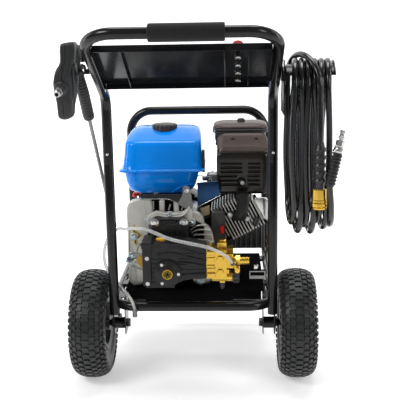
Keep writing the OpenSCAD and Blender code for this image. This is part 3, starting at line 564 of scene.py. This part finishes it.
# ---- tyres with staggered tread blocks
def tyre_point(s, lift, th, cx):
    """s from -1 to 1 across the tread, lift in mm over the carcass."""
    a = s * math.radians(78)
    x = 53 * math.copysign(abs(math.sin(a)) ** 0.86, a)
    r = 116 + 44.6 * abs(math.cos(a)) ** 0.62
    nx, nr = math.sin(a), max(0.35, math.cos(a))
    k = math.hypot(nx, nr)
    x, r = x + lift * nx / k, r + lift * nr / k
    return W(cx + x, r * math.sin(th), 165 + r * math.cos(th))


def tyre(name, cx, body, replaced):
    """A carcass of revolution with 9 rows of 46 blocks, and a bead line on each side."""
    prof = [(-34, 80), (-40, 83), (-44, 92), (-49, 104), (-51.5, 112)]
    rows = []
    for i in range(19):
        s = -1 + 2 * i / 18
        a = s * math.radians(78)
        rows.append((51.9 * math.copysign(abs(math.sin(a)) ** 0.86, a),
            116 + 44.2 * abs(math.cos(a)) ** 0.62))
    prof += rows + [(51.5, 112), (49, 104), (44, 92), (40, 83), (34, 80)]
    n, verts, faces = 96, [], []
    for i in range(n):
        th = 2 * math.pi * i / n
        for x, r in prof:
            verts.append(W(cx + x, r * math.sin(th), 165 + r * math.cos(th)))
    m = len(prof)
    for i in range(n):
        k = (i + 1) % n
        for j in range(m - 1):
            faces.append((i * m + j, i * m + j + 1, k * m + j + 1, k * m + j))
        faces.append((i * m + m - 1, i * m, k * m, k * m + m - 1))
    cols, count = 9, 46
    for c in range(cols):
        s0 = -0.98 + 1.96 * c / cols
        w = 1.96 / cols
        for i in range(count):
            th0 = 2 * math.pi * (i + 0.5 * (c % 2)) / count
            step = 2 * math.pi / count
            # a block with a notched waist, as the tread of a turf tyre
            shape = [(0.07, 0.14), (0.5, 0.22), (0.93, 0.14), (0.97, 0.5), (0.93, 0.80), (0.5, 0.90),
                (0.07, 0.80), (0.03, 0.5)]
            base = len(verts)
            for lift, inset in ((-1.0, 0.0), (3.2, 0.08), (3.8, 0.16)):
                for u, t in shape:
                    u2, t2 = 0.5 + (u - 0.5) * (1 - inset), 0.52 + (t - 0.52) * (1 - inset)
                    verts.append(tyre_point(s0 + w * u2, lift, th0 + step * t2, cx))
            q = len(shape)
            for lvl in range(2):
                for j in range(q):
                    k = (j + 1) % q
                    faces.append((base + lvl * q + j, base + lvl * q + k, base + (lvl + 1) * q + k,
                        base + (lvl + 1) * q + j))
            faces.append(tuple(base + 2 * q + j for j in range(q)))
    o = from_lists(name, verts, faces, angle=32)
    put(o, "tyre_rubber", body)
    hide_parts(replaced)
    for side in (-1, 1):
        bead = []
        for i in range(49):
            th = 2 * math.pi * i / 48
            bead.append(W(cx + side * 47.4, 101 * math.sin(th), 165 + 101 * math.cos(th)))
        run(f"{name}_line_{'in' if side < 0 else 'out'}", bead, 1.6, "tyre_rubber", body, 2)


tyre("tyre_left", -308, "wheel_left", "wheel_left_tyre")
tyre("tyre_right", 308, "wheel_right", "wheel_right_tyre")
for side, body in ((-1, "wheel_left"), (1, "wheel_right")):
    th = math.radians(200)
    base = W(side * 344, 74 * math.sin(th), 165 + 74 * math.cos(th))
    put(lathe(f"valve_stem_{'left' if side < 0 else 'right'}", [(0, 3.4), (6, 3.2), (8, 2.4), (20, 2.4),
        (21, 3.4), (27, 3.2), (28, 2)], base, base + Vector((side * 0.012, 0, 0.02)), 16), "black_rubber",
        body)


# ---- fuel tank
def tank_ring(z, x0, x1, y0, y1, r):
    return rounded_ring(x0, x1, y0, y1, r, z, 9)


tank_levels = [(531.0, -172, -44, 196, 300, 30), (532.5, -186, -30, 180, 314, 34),
    (536, -196, -20, 162, 326, 36), (544, -205, -8, 150, 336, 36), (556, -210, 2, 144, 342, 34),
    (575, -215, 8, 141, 345, 32), (600, -219, 14, 139, 348, 30), (605.6, -220, 15, 138, 349, 30),
    (606.0, -234, 30, 131, 359, 26), (607.0, -236, 32, 130, 360, 26), (611.0, -236, 32, 130, 360, 26),
    (612.2, -235, 31, 131, 359, 26), (613.0, -228, 26, 136, 353, 30), (616, -225, 24.5, 138, 351, 32),
    (640, -222, 24, 140, 350, 34), (665, -219, 23, 142, 348, 36), (688, -216, 22.5, 143, 348, 30),
    (694, -215, 22, 145, 347, 30), (698, -214.5, 21.8, 148, 347, 30), (701.5, -213.5, 21.5, 154, 346, 32),
    (705, -213, 21, 163, 345, 32), (710, -211, 20, 175, 343, 34), (715, -208, 18.5, 187, 341, 36),
    (720, -205, 16.5, 200, 338, 38), (725, -201, 13, 215, 334, 40), (729, -195, 8, 228, 330, 40),
    (732, -187, 0, 240, 325, 38), (734, -175, -12, 252, 316, 32)]
tank = put(skin("tank_shell", [tank_ring(*lv) for lv in tank_levels], angle=62), "tank_blue", "chassis")
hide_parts("fuel_tank")
put(lathe("tank_neck", [(0, 31), (2, 31), (3, 29), (8, 29)], W(-96, 245, 722), W(-96, 245, 732), 40),
    "tank_blue")
put(block("tank_tab", (24, 168, 598), (33, 196, 668), 3), "black_plastic")
scallop = catmull([W(-70, 141, 541), W(-48, 139, 556), W(-30, 138.6, 564), W(-8, 139, 568),
    W(-2, 140, 569)], 6)
run("tank_scallop", scallop, 2.6, "tank_blue", "chassis", 4)
fuel_cap_flutes = put(lathe("fuel_cap_flutes", [(0, 35), (1, 38.6), (3, 40.4), (19, 40.4), (22, 38),
    (24, 33), (26, 13), (26.6, 2)], W(-96, 245, 721), W(-96, 245, 749), 144, 18, 0.07, 30), "cap_plastic",
    "fuel_cap")
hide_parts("fuel_cap")


# ---- muffler guard with louvres
def guard_ring(y, x0, x1, z0, z1, r):
    return rounded_ring(x0, x1, z0, z1, r, y, 7, lambda x, z, yy: W(x, yy, z))


levels = [(141.6, 92, 212, 552, 640, 10), (141.2, 80, 222, 540, 655, 12), (142.6, 73, 229, 536, 661, 14),
    (146, 70.5, 232, 534, 664, 16), (147, 72, 231, 533.5, 668, 18), (149.5, 76, 226, 533.5, 681, 22),
    (151.5, 76, 226, 533.5, 684, 22), (154, 73, 230, 533.5, 686, 22), (160, 72, 231, 533.5, 698, 24),
    (166, 72, 231, 533.5, 711, 26), (170, 72, 231, 533.5, 717, 26), (176, 72, 231, 533.5, 720, 26),
    (180, 73, 230, 533.5, 717, 24), (181.4, 73, 230, 533.5, 686, 20), (185, 71, 233, 533.5, 680, 20),
    (291, 71, 233, 533.5, 680, 18)]
guard = skin("guard_shell", [guard_ring(*lv) for lv in levels], caps=False, angle=50)
fill = bmesh.new()
fill.from_mesh(guard.data)
edges = [e for e in fill.edges if e.is_boundary and all(v.co.y < W(0, 142, 0).y for v in e.verts)]
bmesh.ops.edgeloop_fill(fill, edges=edges)
bmesh.ops.recalc_face_normals(fill, faces=fill.faces)
fill.to_mesh(guard.data)
fill.free()
soften(guard, 50)
put(guard, "guard_sheet", "chassis")
# the guard's top faces, above 672 mm and in front of Y 180, take the lighter brown as a painted highlight
# where light falls on the crown
guard.data.materials.append(MAT["brown_plastic"])
for f in guard.data.polygons:
    f.material_index = int(f.center.z > 0.672 and f.center.y < W(0, 180, 0).y)
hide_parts("muffler_guard")
# each louvre slot is a dark block of painted shade, with a lip above it
for i in range(6):
    z = 560 + i * 13.4
    spans = [(82, 134), (166, 204)] if i in (1, 2) else [(82, 150), (168, 206)]
    for j, (xa, xb) in enumerate(spans):
        put(block(f"louvre_slot_{i}_{j}", (xa, 139.9, z), (xb, 142.6, z + 5.2), 0.6, 1), "black_and_painted_shade")
        lip = catmull([W(xa - 1, 140.6, z + 6.2), W((xa + xb) / 2, 138.6, z + 6.8),
            W(xb + 1, 140.6, z + 6.2)], 4)
        run(f"louvre_lip_{i}_{j}", lip, 1.7, "guard_sheet", "chassis", 3)
# a dark dish of painted shade round the guard's screw
put(lathe("guard_screw_dish", [(0, 12.5), (0.6, 12.8), (1.4, 11.5)], W(147, 141.5, 575), W(147, 139.5, 575),
    32), "black_and_painted_shade")
put(lathe("guard_screw", [(0, 7.5), (1.8, 7.5), (2.6, 5.5), (2.8, 2.8), (1.6, 2.6)], W(147, 141, 575),
    W(147, 137, 575), 24), "guard_sheet")
SHOULDER = [[(72, 146, 664), (110, 145, 665), (190, 145, 665), (231, 146, 664)],
    [(70, 143, 542), (110, 141, 541), (190, 141, 541), (231, 143, 542)]]
# the two dimples are dark discs of painted shade
for x in (122, 194):
    put(lathe(f"guard_dimple_{x}", [(0, 13), (0.6, 12.6), (0.8, 9)], W(x, 160.5, 697), W(x, 156, 699), 28),
        "black_and_painted_shade")

# ---- air cleaner cover
waist = [(694.2, 66, 224, 188, 300, 22), (700, 65, 225, 187, 301, 24), (736, 65, 225, 187, 301, 24)]
put(skin("air_cleaner_waist", [tank_ring(*lv) for lv in waist], angle=50), "black_plastic",
    "air_cleaner_cover")
levels = [(734, 63, 227, 185, 303, 24), (736, 61, 229, 183, 305, 26), (740, 61, 229, 183, 305, 28),
    (745, 66, 224, 189, 300, 30), (749, 76, 214, 200, 290, 30), (750.4, 90, 200, 213, 277, 28)]
cover = put(skin("air_cleaner_shell", [tank_ring(*lv) for lv in levels], angle=50), "brown_plastic",
    "air_cleaner_cover")
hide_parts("air_cleaner_cover")
for i, z in enumerate((722, 729)):
    rib = rounded_ring(60.2, 229.8, 182.2, 305.8, 26, z, 7)
    run(f"air_cleaner_rib_{i}", rib + [rib[0]], 2.4, "black_plastic", "air_cleaner_cover", 3)
air_knob_wings = put(lathe("air_knob_wings", [(0, 9), (1, 13), (7, 13), (9, 11.5), (12, 9), (13, 4)],
    W(148, 225, 749), W(148, 225, 762), 96, 6, 0.16, 30), "black_plastic", "air_cleaner_knob")
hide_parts("air_cleaner_knob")
base = put(block("air_cleaner_tray", (67, 183, 681), (223, 299, 693.8), 4, 3), "black_plastic", "chassis")
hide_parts("air_cleaner_base")
put(block("air_cleaner_intake", (80, 206, 560), (118, 246, 684), 8, 3), "black_plastic")
carb = put(block("carburettor_body", (38, 178, 548), (86, 222, 592), 5, 3), "cast_aluminium")
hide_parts("carburettor")
put(block("carburettor_bowl", (44, 182, 526), (78, 216, 552), 8, 3), "cast_aluminium")
put(lathe("carburettor_screw", [(0, 4), (6, 4), (8, 6), (12, 6), (13, 4)], W(50, 180, 575), W(50, 164, 579),
    16), "bright_steel")
run("choke_rod", catmull([W(2, 176, 574), W(16, 170, 590), W(34, 170, 584), W(48, 172, 598),
    W(60, 176, 600)], 6), 1.4, "bright_steel")
run("governor_spring", spiral([W(4, 172, 560), W(36, 172, 566)], 3.4, 4.0), 0.8, "bright_steel", "chassis", 2)
put(block("choke_plate", (24, 168, 572), (52, 172, 586), 1.2, 2), "bright_steel")


# ---- spray gun, trigger fitting and lance
def oval(x, y, z, hx, hy, turn=0.0, n=24, power=2.6):
    """A flat squarish ring for the exhaust elbow."""
    pts = []
    for i in range(n):
        t = 2 * math.pi * i / n
        c, s = math.cos(t), math.sin(t)
        a = math.copysign(abs(c) ** (2 / power), c) * hx
        b = math.copysign(abs(s) ** (2 / power), s) * hy
        ct, st = math.cos(turn), math.sin(turn)
        pts.append(W(x + a * ct - b * st, y + a * st + b * ct, z))
    return pts


def slab(name, outline, y0, y1, r, steps=5):
    """A plate standing in XZ with rounded rims; a closed outline in working mm."""
    n = len(outline)
    pts = []
    for i in range(n):
        a, b, c, d = (Vector(outline[(i + k) % n]) for k in (-1, 0, 1, 2))
        for q in range(steps):
            t = q / steps
            pts.append(0.5 * ((2 * b) + (c - a) * t + (2 * a - 5 * b + 4 * c - d) * t * t
                + (3 * b - a - 3 * c + d) * t ** 3))
    m = len(pts)
    area = sum(pts[i][0] * pts[(i + 1) % m][1] - pts[(i + 1) % m][0] * pts[i][1] for i in range(m))
    turn = 1 if area > 0 else -1
    normals = []
    for i in range(m):
        d = (pts[(i + 1) % m] - pts[i - 1]).normalized()
        normals.append(Vector((d[1], -d[0])) * turn)
    rings = []
    for k in range(9):
        t = math.radians(180 * k / 8)
        inset = r * (1 - math.sin(t))
        y = y0 + r - r * math.cos(t) if k < 4 else (y1 - r - r * math.cos(t) if k > 4 else (y0 + y1) / 2)
        rings.append([W(q[0] - v[0] * inset, y, q[1] - v[1] * inset) for q, v in zip(pts, normals)])
    return skin(name, rings, angle=50)


GUN = [(-316, 1004), (-313, 1011), (-306, 1013.5), (-286, 1016), (-279, 1013), (-277, 1004), (-277, 992),
    (-279, 976), (-284, 960), (-288, 944), (-288, 925), (-288, 900), (-289, 880), (-291, 850), (-293, 832),
    (-298, 822), (-313, 818), (-326, 822), (-330, 832), (-332, 863), (-338, 905), (-336, 925), (-330, 945),
    (-320, 960), (-317, 975), (-317, 990)]
gun = put(slab("gun_shell", GUN, -257, -205, 8), "gun_plastic", "spray_gun")
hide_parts("gun_body")
# the seams are thin dark lines of painted shade in the shell's creases
for i, shift in enumerate((0, 14)):
    seam = catmull([W(-302 + shift, -256.9, 1008), W(-303 + shift, -256.9, 975),
        W(-308 + shift, -256.9, 952), W(-315 + shift * 0.6, -256.9, 925),
        W(-316 + shift * 0.3, -256.9, 900)], 6)
    run(f"gun_seam_{i}", seam, (0.5, 0.3)[i], "black_and_painted_shade", "spray_gun", 2)
run("gun_seam_low", catmull([W(-315, -256.9, 868), W(-314, -256.9, 850), W(-313, -256.6, 828)], 6), 0.7,
    "black_and_painted_shade", "spray_gun", 2)
GUARD = [(-284, 976), (-280, 952), (-277, 928), (-279, 905), (-283, 882), (-289, 858), (-293, 842),
    (-298, 850), (-296, 880), (-294, 920), (-292, 960)]
put(slab("gun_trigger_guard", GUARD, -240, -212, 5), "black_plastic", "spray_gun")
nose = W(-288, -218, 1000)
ld = Vector((0.065, 0.576, -1.0)).normalized()
put(lathe("gun_barrel", [(0, 14), (4, 18.5), (30, 18.5), (40, 16), (46, 12), (48, 8)], nose - ld * 0.004,
    nose + ld, 32), "gun_plastic", "spray_gun")
inlet_a, inlet_b = W(-316, -252, 900), W(-322, -280, 888)
put(lathe("gun_inlet_boss", [(0, 19), (4, 19), (6, 17.5), (8, 17.5), (9, 15.8), (12, 15.8), (13, 14),
    (15, 14), (16, 11)], inlet_a, inlet_b, 40), "gun_plastic", "spray_gun")
mid = inlet_a.lerp(inlet_b, 0.5)
put(lathe("gun_inlet_hex", [(0, 10), (0.8, 12.2), (8, 12.2), (9, 10.5)], mid, inlet_b, 6, 0, 0, 20),
    "machined_steel", "spray_gun")
end = W(-322, -280, 888)
put(lathe("gun_inlet_plug", [(0, 7), (3, 7), (4.5, 9.6), (7.5, 9.8), (9.5, 8.0), (10, 5.0), (8.5, 4.6)],
    end - (end - mid) * 0.35, end + (end - mid), 32), "machined_steel", "spray_gun")
# a dark disc of painted shade in the plug's bore
put(lathe("gun_inlet_bore", [(0, 4.9), (0.5, 4.8)], end + (end - mid).normalized() * 0.0059,
    end + (end - mid) * 2, 20), "black_and_painted_shade", "spray_gun")
prof = [(0, 8), (2, 9.6), (14, 10.4)]
for i in range(18):
    t = 18 + i * 9
    wide = min(1, i / 9)
    prof += [(t, 9.8 + 4.6 * wide), (t + 1.2, 10.9 + 4.8 * wide), (t + 5.8, 11.1 + 4.8 * wide),
        (t + 7, 9.9 + 4.6 * wide)]
prof += [(181, 15), (186, 14.6), (188, 12), (188.5, 6)]
lance_grip = put(lathe("lance_grip", prof, nose + ld * 0.038, nose + ld, 44, 22, 0.035), "black_rubber",
    "spray_gun")
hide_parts("lance")
DROP = 1.15577                          # metres along the lance for each metre down
put(lathe("lance_rod", [(0, 4.8), (1, 5), (395, 5), (396, 4.6)], nose + ld * 0.18, nose + ld, 20),
    "grey_bracket", "spray_gun")
put(lathe("lance_nut", [(0, 6), (1, 9.8), (8, 10), (10, 8.6), (12, 9.9), (30, 9.9), (33, 8), (34, 5)],
    nose + ld * (0.53 * DROP), nose + ld, 32, 16, 0.04), "bright_steel", "spray_gun")
trigger = catmull([W(-287, -243, 956), W(-286, -244, 925), W(-285, -244, 905), W(-287, -243, 885),
    W(-289, -242, 874)], 6)
trigger_blade = run("trigger_blade", trigger, 4.6, "trigger_plastic", "gun_trigger", 5)
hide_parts("gun_trigger")

# ---- nozzles and the panel's side walls
up = Vector((0, math.sin(PANEL_TILT), math.cos(PANEL_TILT)))
for i, colour in enumerate(("nozzle_red", "nozzle_yellow", "nozzle_green", "nozzle_white")):
    name = f"nozzle_{i + 1}"
    co = [v.co for v in NODES[name].data.vertices]
    along = [c.dot(up) for c in co]
    axis = sum(co, Vector()) / len(co)
    top_p = axis + up * (max(along) - axis.dot(up))
    low_p = axis + up * (min(along) - axis.dot(up))
    cap = put(lathe(f"nozzle_cap_{i + 1}", [(0, 8), (0.8, 12), (2, 13), (11, 13), (13, 11.6), (14, 8),
        (14.2, 4)], top_p - up * 0.0142, top_p, 72, 18, 0.07, 30), colour, name)
    total = (top_p - low_p).length * 1000 - 13
    prof = [(0, 5.0), (1, 7.4), (4, 7.6), (6, 7.4), (7, 5.4), (10, 4.6), (total - 9, 4.6), (total - 7, 5.5),
        (total, 5.6)]
    put(lathe(f"nozzle_stem_{i + 1}", prof, low_p, top_p, 32), "bright_steel", name)
    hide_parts(name)


def slope(x, y, z):
    """Panel coordinates to row metres: y runs down the slope, z stands off it."""
    c, si = math.cos(PANEL_TILT), math.sin(PANEL_TILT)
    return W(x, -60 + y * c + z * si, 856 - y * si + z * c)


for side in (-1, 1):
    wall = [[slope(side * x, y, z) for x, z in ((216, 0), (218, 0), (218, -30), (216, -30))]
        for y in (-325, -240, -150, -105)]
    put(skin(f"panel_side_{'left' if side < 0 else 'right'}", wall), "panel_paint")

# ---- starter rope, in even rings along its length
rope_a, rope_b = W(-128, 364, 491), W(-191, 364, 491)
rope = lathe("starter_cord", [(0, 2.0)] + [(1 + 61 * i / 24, 2.0) for i in range(25)] + [(62.8, 1.2)],
    rope_a, rope_b, 12)
rope.data.materials.append(MAT["rope_fibre"])
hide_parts("starter_rope")
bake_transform(rope)


# ---- engine details
def screw(name, x, y, z, r, mat="zinc_blue"):
    """A flanged hexagon screw that faces the user, seated at y."""
    seat, tip = W(x, y, z), W(x, y - 9, z)
    put(lathe(name + "_flange", [(0, r * 1.5), (1.4, r * 1.5), (2.2, r * 1.15)], seat, tip, 24), mat)
    put(lathe(name + "_head", [(1.5, r), (6.2, r), (7.4, r * 0.8), (7.5, r * 0.45), (6.6, r * 0.4)], seat,
        tip, 6, 0, 0, 20), mat)


def ribs(name, lines, radius, mat):
    """Rounded ribs cast on a face, one per list of points."""
    for i, line in enumerate(lines):
        run(f"{name}_{i}", catmull([W(*q) for q in line], 5), radius, mat, "chassis", 3)


ribs("guard_edge", SHOULDER, 1.3, "guard_sheet")
LOBE = [(-197, 526), (-180, 537), (-150, 541), (-130, 536), (-124, 505), (-122, 475), (-130, 445),
    (-148, 415), (-150, 340), (-146, 290), (-160, 270), (-192, 268), (-200, 300), (-204, 357), (-203, 439),
    (-204, 498)]
put(slab("cover_lobe", LOBE, 49, 78, 6, 3), "cover_aluminium")
CREST = [(-143, 484), (-117, 503), (-95, 500), (-71, 496), (-50, 500), (-28, 503), (-12, 524), (-3, 505),
    (-6, 470), (-20, 462), (-60, 470), (-112, 466), (-136, 460)]
put(slab("cover_crest", CREST, 41, 62, 6, 3), "cover_aluminium")
WEB = [(-18, 470), (8, 476), (36, 458), (54, 440), (62, 400), (60, 340), (60, 296), (44, 272), (10, 268),
    (-10, 290), (-18, 380)]
put(slab("cover_web", WEB, 56, 80, 5, 3), "cover_aluminium")
ribs("cover_fan", [[(-14, 54, 440), (10, 54, 455), (36, 54, 457)], [(-14, 54, 432), (18, 54, 443),
    (52, 54, 440)], [(-14, 54, 422), (20, 54, 428), (56, 54, 424)],
    [(-14, 54, 411), (20, 54, 412), (58, 54, 406)], [(-14, 54, 400), (20, 54, 396), (58, 54, 388)],
    [(-14, 55, 392), (14, 55, 382), (48, 55, 366)]], 2.3, "cover_aluminium")
ribs("cover_rim", [[(-150, 50, 536), (-147, 48, 500), (-136, 47, 468), (-146, 47, 425), (-172, 48, 392),
    (-182, 48, 340), (-180, 49, 285)], [(-198, 49, 470), (-198, 49, 430), (-199, 49, 380), (-197, 49, 320)],
    [(-176, 48, 405), (-160, 48, 392), (-152, 49, 380)], [(-178, 48, 372), (-164, 48, 366),
    (-152, 49, 362)], [(-136, 41, 478), (-112, 39, 492), (-71, 39, 486), (-30, 39, 492), (-10, 40, 516)]],
    2.6, "cover_aluminium")
for i, (x, z) in enumerate(((-136, 480), (-6, 468), (-181, 424), (-190, 364), (19, 281), (-71, 489))):
    put(lathe(f"cover_boss_{i}", [(0, 12.5), (9, 12.5), (10.5, 10.5)], W(x, 56, z), W(x, 40, z), 28),
        "cover_aluminium")
    screw(f"cover_screw_{i}", x, 45.2 if i != 5 else 40, z, 6)
for i, (x, w, z0, z1) in enumerate(((-143, 10, 492, 537), (-96, 8, 496, 532), (-14, 9, 486, 534),
        (-52, 8, 496, 528))):
    put(block(f"case_post_{i}", (x - w, 58, z0), (x + w, 92, z1), 5, 3), "cover_aluminium")
ribs("case_rib", [[(-122, 66, 505), (-122, 66, 530)], [(-76, 64, 503), (-70, 64, 520)],
    [(-36, 64, 503), (-30, 64, 522)]], 2.6, "cast_aluminium")
put(block("case_shadow", (-136, 82, 492), (-18, 96, 540), 3), "black_and_painted_shade")
drain_a, drain_b = W(-158, 52, 330), W(-206, 40, 354)
put(lathe("drain_boss", [(0, 15), (34, 14), (37, 12), (38, 8)], drain_a, drain_b, 32), "cover_aluminium")
put(lathe("drain_plug", [(34, 10.5), (40, 10.5), (41, 7), (50, 6.5), (51, 9.5), (56, 9.5), (57, 7)],
    drain_a, drain_b, 6, 0, 0, 20), "zinc_blue")
# tank bracket, its triangular end and the heat shield
under = [(-160, 540), (-152, 553), (-70, 554), (-34, 554), (-22, 545), (-30, 530), (-42, 525), (-52, 531),
    (-72, 541)]
brackets = put(slab("tank_bracket", under, 48, 56, 1.5, 1), "black_sheet")
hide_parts("engine_brackets")
ribs("tank_bracket_edge", [[(-158, 47, 541), (-110, 47, 541), (-74, 47, 540), (-54, 47, 530),
    (-42, 47, 525)]], 1.1, "bright_steel")
ARM = [(-29, 577), (-20, 580), (-10, 576), (-4, 545), (-1, 520), (-8, 508), (-24, 512), (-44, 526),
    (-42, 535), (-32, 552)]
put(slab("tank_arm", ARM, 42, 49, 1.6, 2), "grey_bracket")
screw("tank_arm_screw", -18, 42.5, 567, 5, "zinc_steel")
put(slab("heat_shield", [(11, 504), (81, 541), (75, 584), (12, 580)], 96, 100, 1.2, 1), "heat_blue")
ribs("heat_shield_edge", [[(10, 95, 504), (46, 95, 522), (82, 95, 541)]], 1.8, "bright_steel")
put(slab("cylinder_gasket", [(20, 500), (48, 510), (48, 482), (24, 474)], 90, 96, 1, 1), "gasket")
# cylinder with its raked fins, and a dark core painted as the shade between the fins
axis = Vector((math.cos(FIN_RAKE), 0, math.sin(FIN_RAKE)))
across = Vector((-math.sin(FIN_RAKE), 0, math.cos(FIN_RAKE)))
verts, faces = [], []


def fin_box(centre, half_t, low, high, y0, y1):
    """Adds a raked box to verts and faces."""
    base = len(verts)
    for t, n, y in ((-1, -low, y0), (1, -low, y0), (1, high, y0), (-1, high, y0), (-1, -low, y1),
            (1, -low, y1), (1, high, y1), (-1, high, y1)):
        q = centre + axis * (t * half_t) + across * n
        verts.append(W(q.x, y, q.z))
    faces.extend(tuple(base + i for i in f) for f in ((0, 1, 2, 3), (7, 6, 5, 4), (0, 4, 5, 1),
        (1, 5, 6, 2), (2, 6, 7, 3), (3, 7, 4, 0)))


for i in range(14):
    c = Vector((80, 0, 443)) + axis * (9.6 * i)
    fin_box(c, 1.5, 57 if i > 1 else 40, min(58, (529 - c.z) / math.cos(FIN_RAKE)), 92, 214)
fins = put(from_lists("cylinder_fins", verts, faces), "cast_aluminium")
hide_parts("engine_cylinder")
verts, faces = [], []
fin_box(Vector((100, 0, 448)), 66, 49, 44, 101, 208)
del faces[5], faces[3]          # open at both ends, so the piston runs through it
fin_box(Vector((196, 0, 480)), 14, 40, 38, 104, 204)
put(from_lists("cylinder_core_shade", verts, faces), "black_and_painted_shade")
SHROUD = [(184, 530), (224, 531), (227, 500), (228, 462), (214, 470), (204, 488)]
put(slab("head_shroud", SHROUD, 84, 100, 4, 3), "bright_steel")
ribs("head_shroud_edge", [[(184, 84, 528), (200, 84, 494), (214, 84, 469)]], 2.0, "bright_steel")
# exhaust elbow from the muffler to the cylinder with its flange
elbow = [oval(151, 84, 546, 20, 15), oval(150.5, 82, 520, 19, 15), oval(149, 80, 500, 18, 15),
    oval(145, 80, 486, 19, 15, 0.1), oval(140, 82, 474, 21, 14, 0.2), oval(138, 86, 464, 18, 11, 0.2)]
put(skin("exhaust_elbow", elbow, angle=60), "black_sheet")
put(slab("exhaust_flange", [(103, 488), (112, 492), (140, 484), (168, 476), (172, 466), (164, 459),
    (140, 462), (108, 472), (101, 479)], 84, 92, 2, 3), "black_sheet")
screw("exhaust_nut_0", 110, 84, 481, 5.5, "zinc_steel")
screw("exhaust_nut_1", 163, 84, 469, 5.5, "zinc_steel")
# gear housing front with its ears and ribs
EARS = [(-122, 420), (-124, 470), (-121, 486), (-112, 493), (-102, 490), (-92, 481), (-69, 473), (-46, 480),
    (-36, 490), (-26, 493), (-17, 486), (-14, 470), (-16, 420), (-18, 396), (-120, 396)]
put(slab("gear_front", EARS, -5, 8, 3, 3), "pump_paint")
for i in range(6):
    x = -108 + i * 15.2
    put(block(f"gear_rib_{i}", (x, -10, 404), (x + 4, -2, 462 - 3 * abs(i - 2.5)), 1.6, 2), "pump_paint")
put(block("gear_boss", (-80, -12, 410), (-60, -2, 428), 3, 3), "pump_paint")
screw("gear_screw_0", -112, -5, 481, 8, "bright_steel")
screw("gear_screw_1", -26, -5, 481, 8, "bright_steel")
# pump: box end, swept ribs, brass bars, the round cover's rim and its sight glass
put(block("pump_end", (-143, -97.5, 313), (-117, -5, 441), 4, 3), "pump_paint")
put(block("pump_end_lip", (-145, -99, 425), (-114, -4, 444), 4, 3), "pump_paint")
ribs("pump_sweep", [[(-108, -92, 430), (-71, -92, 434), (-22, -92, 424), (12, -92, 412), (41, -92, 404)],
    [(-98, -93, 408), (-56, -93, 412), (-7, -93, 400), (41, -93, 388)],
    [(-40, -93, 384), (0, -93, 380), (41, -93, 372)], [(-32, -93, 344), (0, -93, 348), (41, -93, 351)]],
    3.4, "pump_paint")
for i, z in enumerate((346, 362, 394, 412)):
    put(block(f"head_bar_{i}", (43, -99, z - 6), (68, -88, z + 7), 3, 3), "brass")
put(lathe("pump_cover_ring", [(0, 37.6), (2, 38), (6, 36), (7, 31), (9, 29), (11, 25.5)], W(-70, -96, 352),
    W(-70, -110, 352), 56), "pump_paint")
put(lathe("sight_rim", [(0, 15.5), (3, 15.5), (4, 13), (2, 12)], W(-70, -104, 352), W(-70, -110, 352), 36),
    "aged_brass")
put(lathe("sight_lens", [(0, 13.2), (0.5, 13)], W(-70, -109, 352), W(-70, -110, 352), 32), "aged_brass")
for i in range(3):
    t = math.radians(60 * i + 15)
    dx, dz = 9.5 * math.cos(t), 9.5 * math.sin(t)
    run(f"sight_spoke_{i}", [W(-70 - dx, -109.4, 352 - dz), W(-70 + dx, -109.4, 352 + dz)], 1.3, "black_and_painted_shade",
        "chassis", 2)
# skirt of the blower housing behind the cylinder
put(block("blower_skirt", (66, 238, 330), (222, 250, 446), 3, 2), "black_plastic")
for i in range(6):
    put(block(f"skirt_rib_{i}", (124 + i * 17, 232, 334), (129 + i * 17, 240, 440), 1.5, 1), "black_plastic")
# lance holder arm, a dark strip painted as the shade under the deck's lip, a stud on the deck and the plug
# boot
put(block("holder_arm", (-282, -190, 962), (-246, -172, 992), 3, 2), "black_sheet")
put(block("deck_shade", (-150, 20, 214), (118, 26, 240), 2, 2), "deck_paint")
put(block("deck_stud", (180, -4, 334), (194, 8, 348), 4, 3), "bright_steel")
plug = put(lathe("plug_boot", [(0, 6), (2, 9), (24, 9), (28, 6), (30, 4)], W(196, 88, 472), W(186, 80, 446),
    20), "black_rubber")
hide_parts("engine_wiring")

# ---- blank labels and wires
put(block("label_plate", (168, 13, 299), (216, 14, 323), 0.4, 1), "label")
# a dark inset of painted shade on the label
put(block("label_inset", (171, 12.4, 309), (213, 13.4, 320), 0.3, 1), "black_and_painted_shade")
for i in range(3):
    pts = [W(-160 - 3 * i, 70, 506), W(-172 + 2 * i, 60, 490 - 4 * i), W(-184 + 6 * i, 52, 468),
        W(-178 - 4 * i, 48, 448 - 5 * i), W(-170 + 5 * i, 46, 428), W(-182 + 4 * i, 48, 408 + 3 * i),
        W(-172, 52, 388), W(-160, 54, 372)]
    run(f"loom_wire_{i}", catmull(pts, 8), 1.7, ("wire_yellow", "black_rubber", "wire_yellow")[i],
        "chassis", 3)
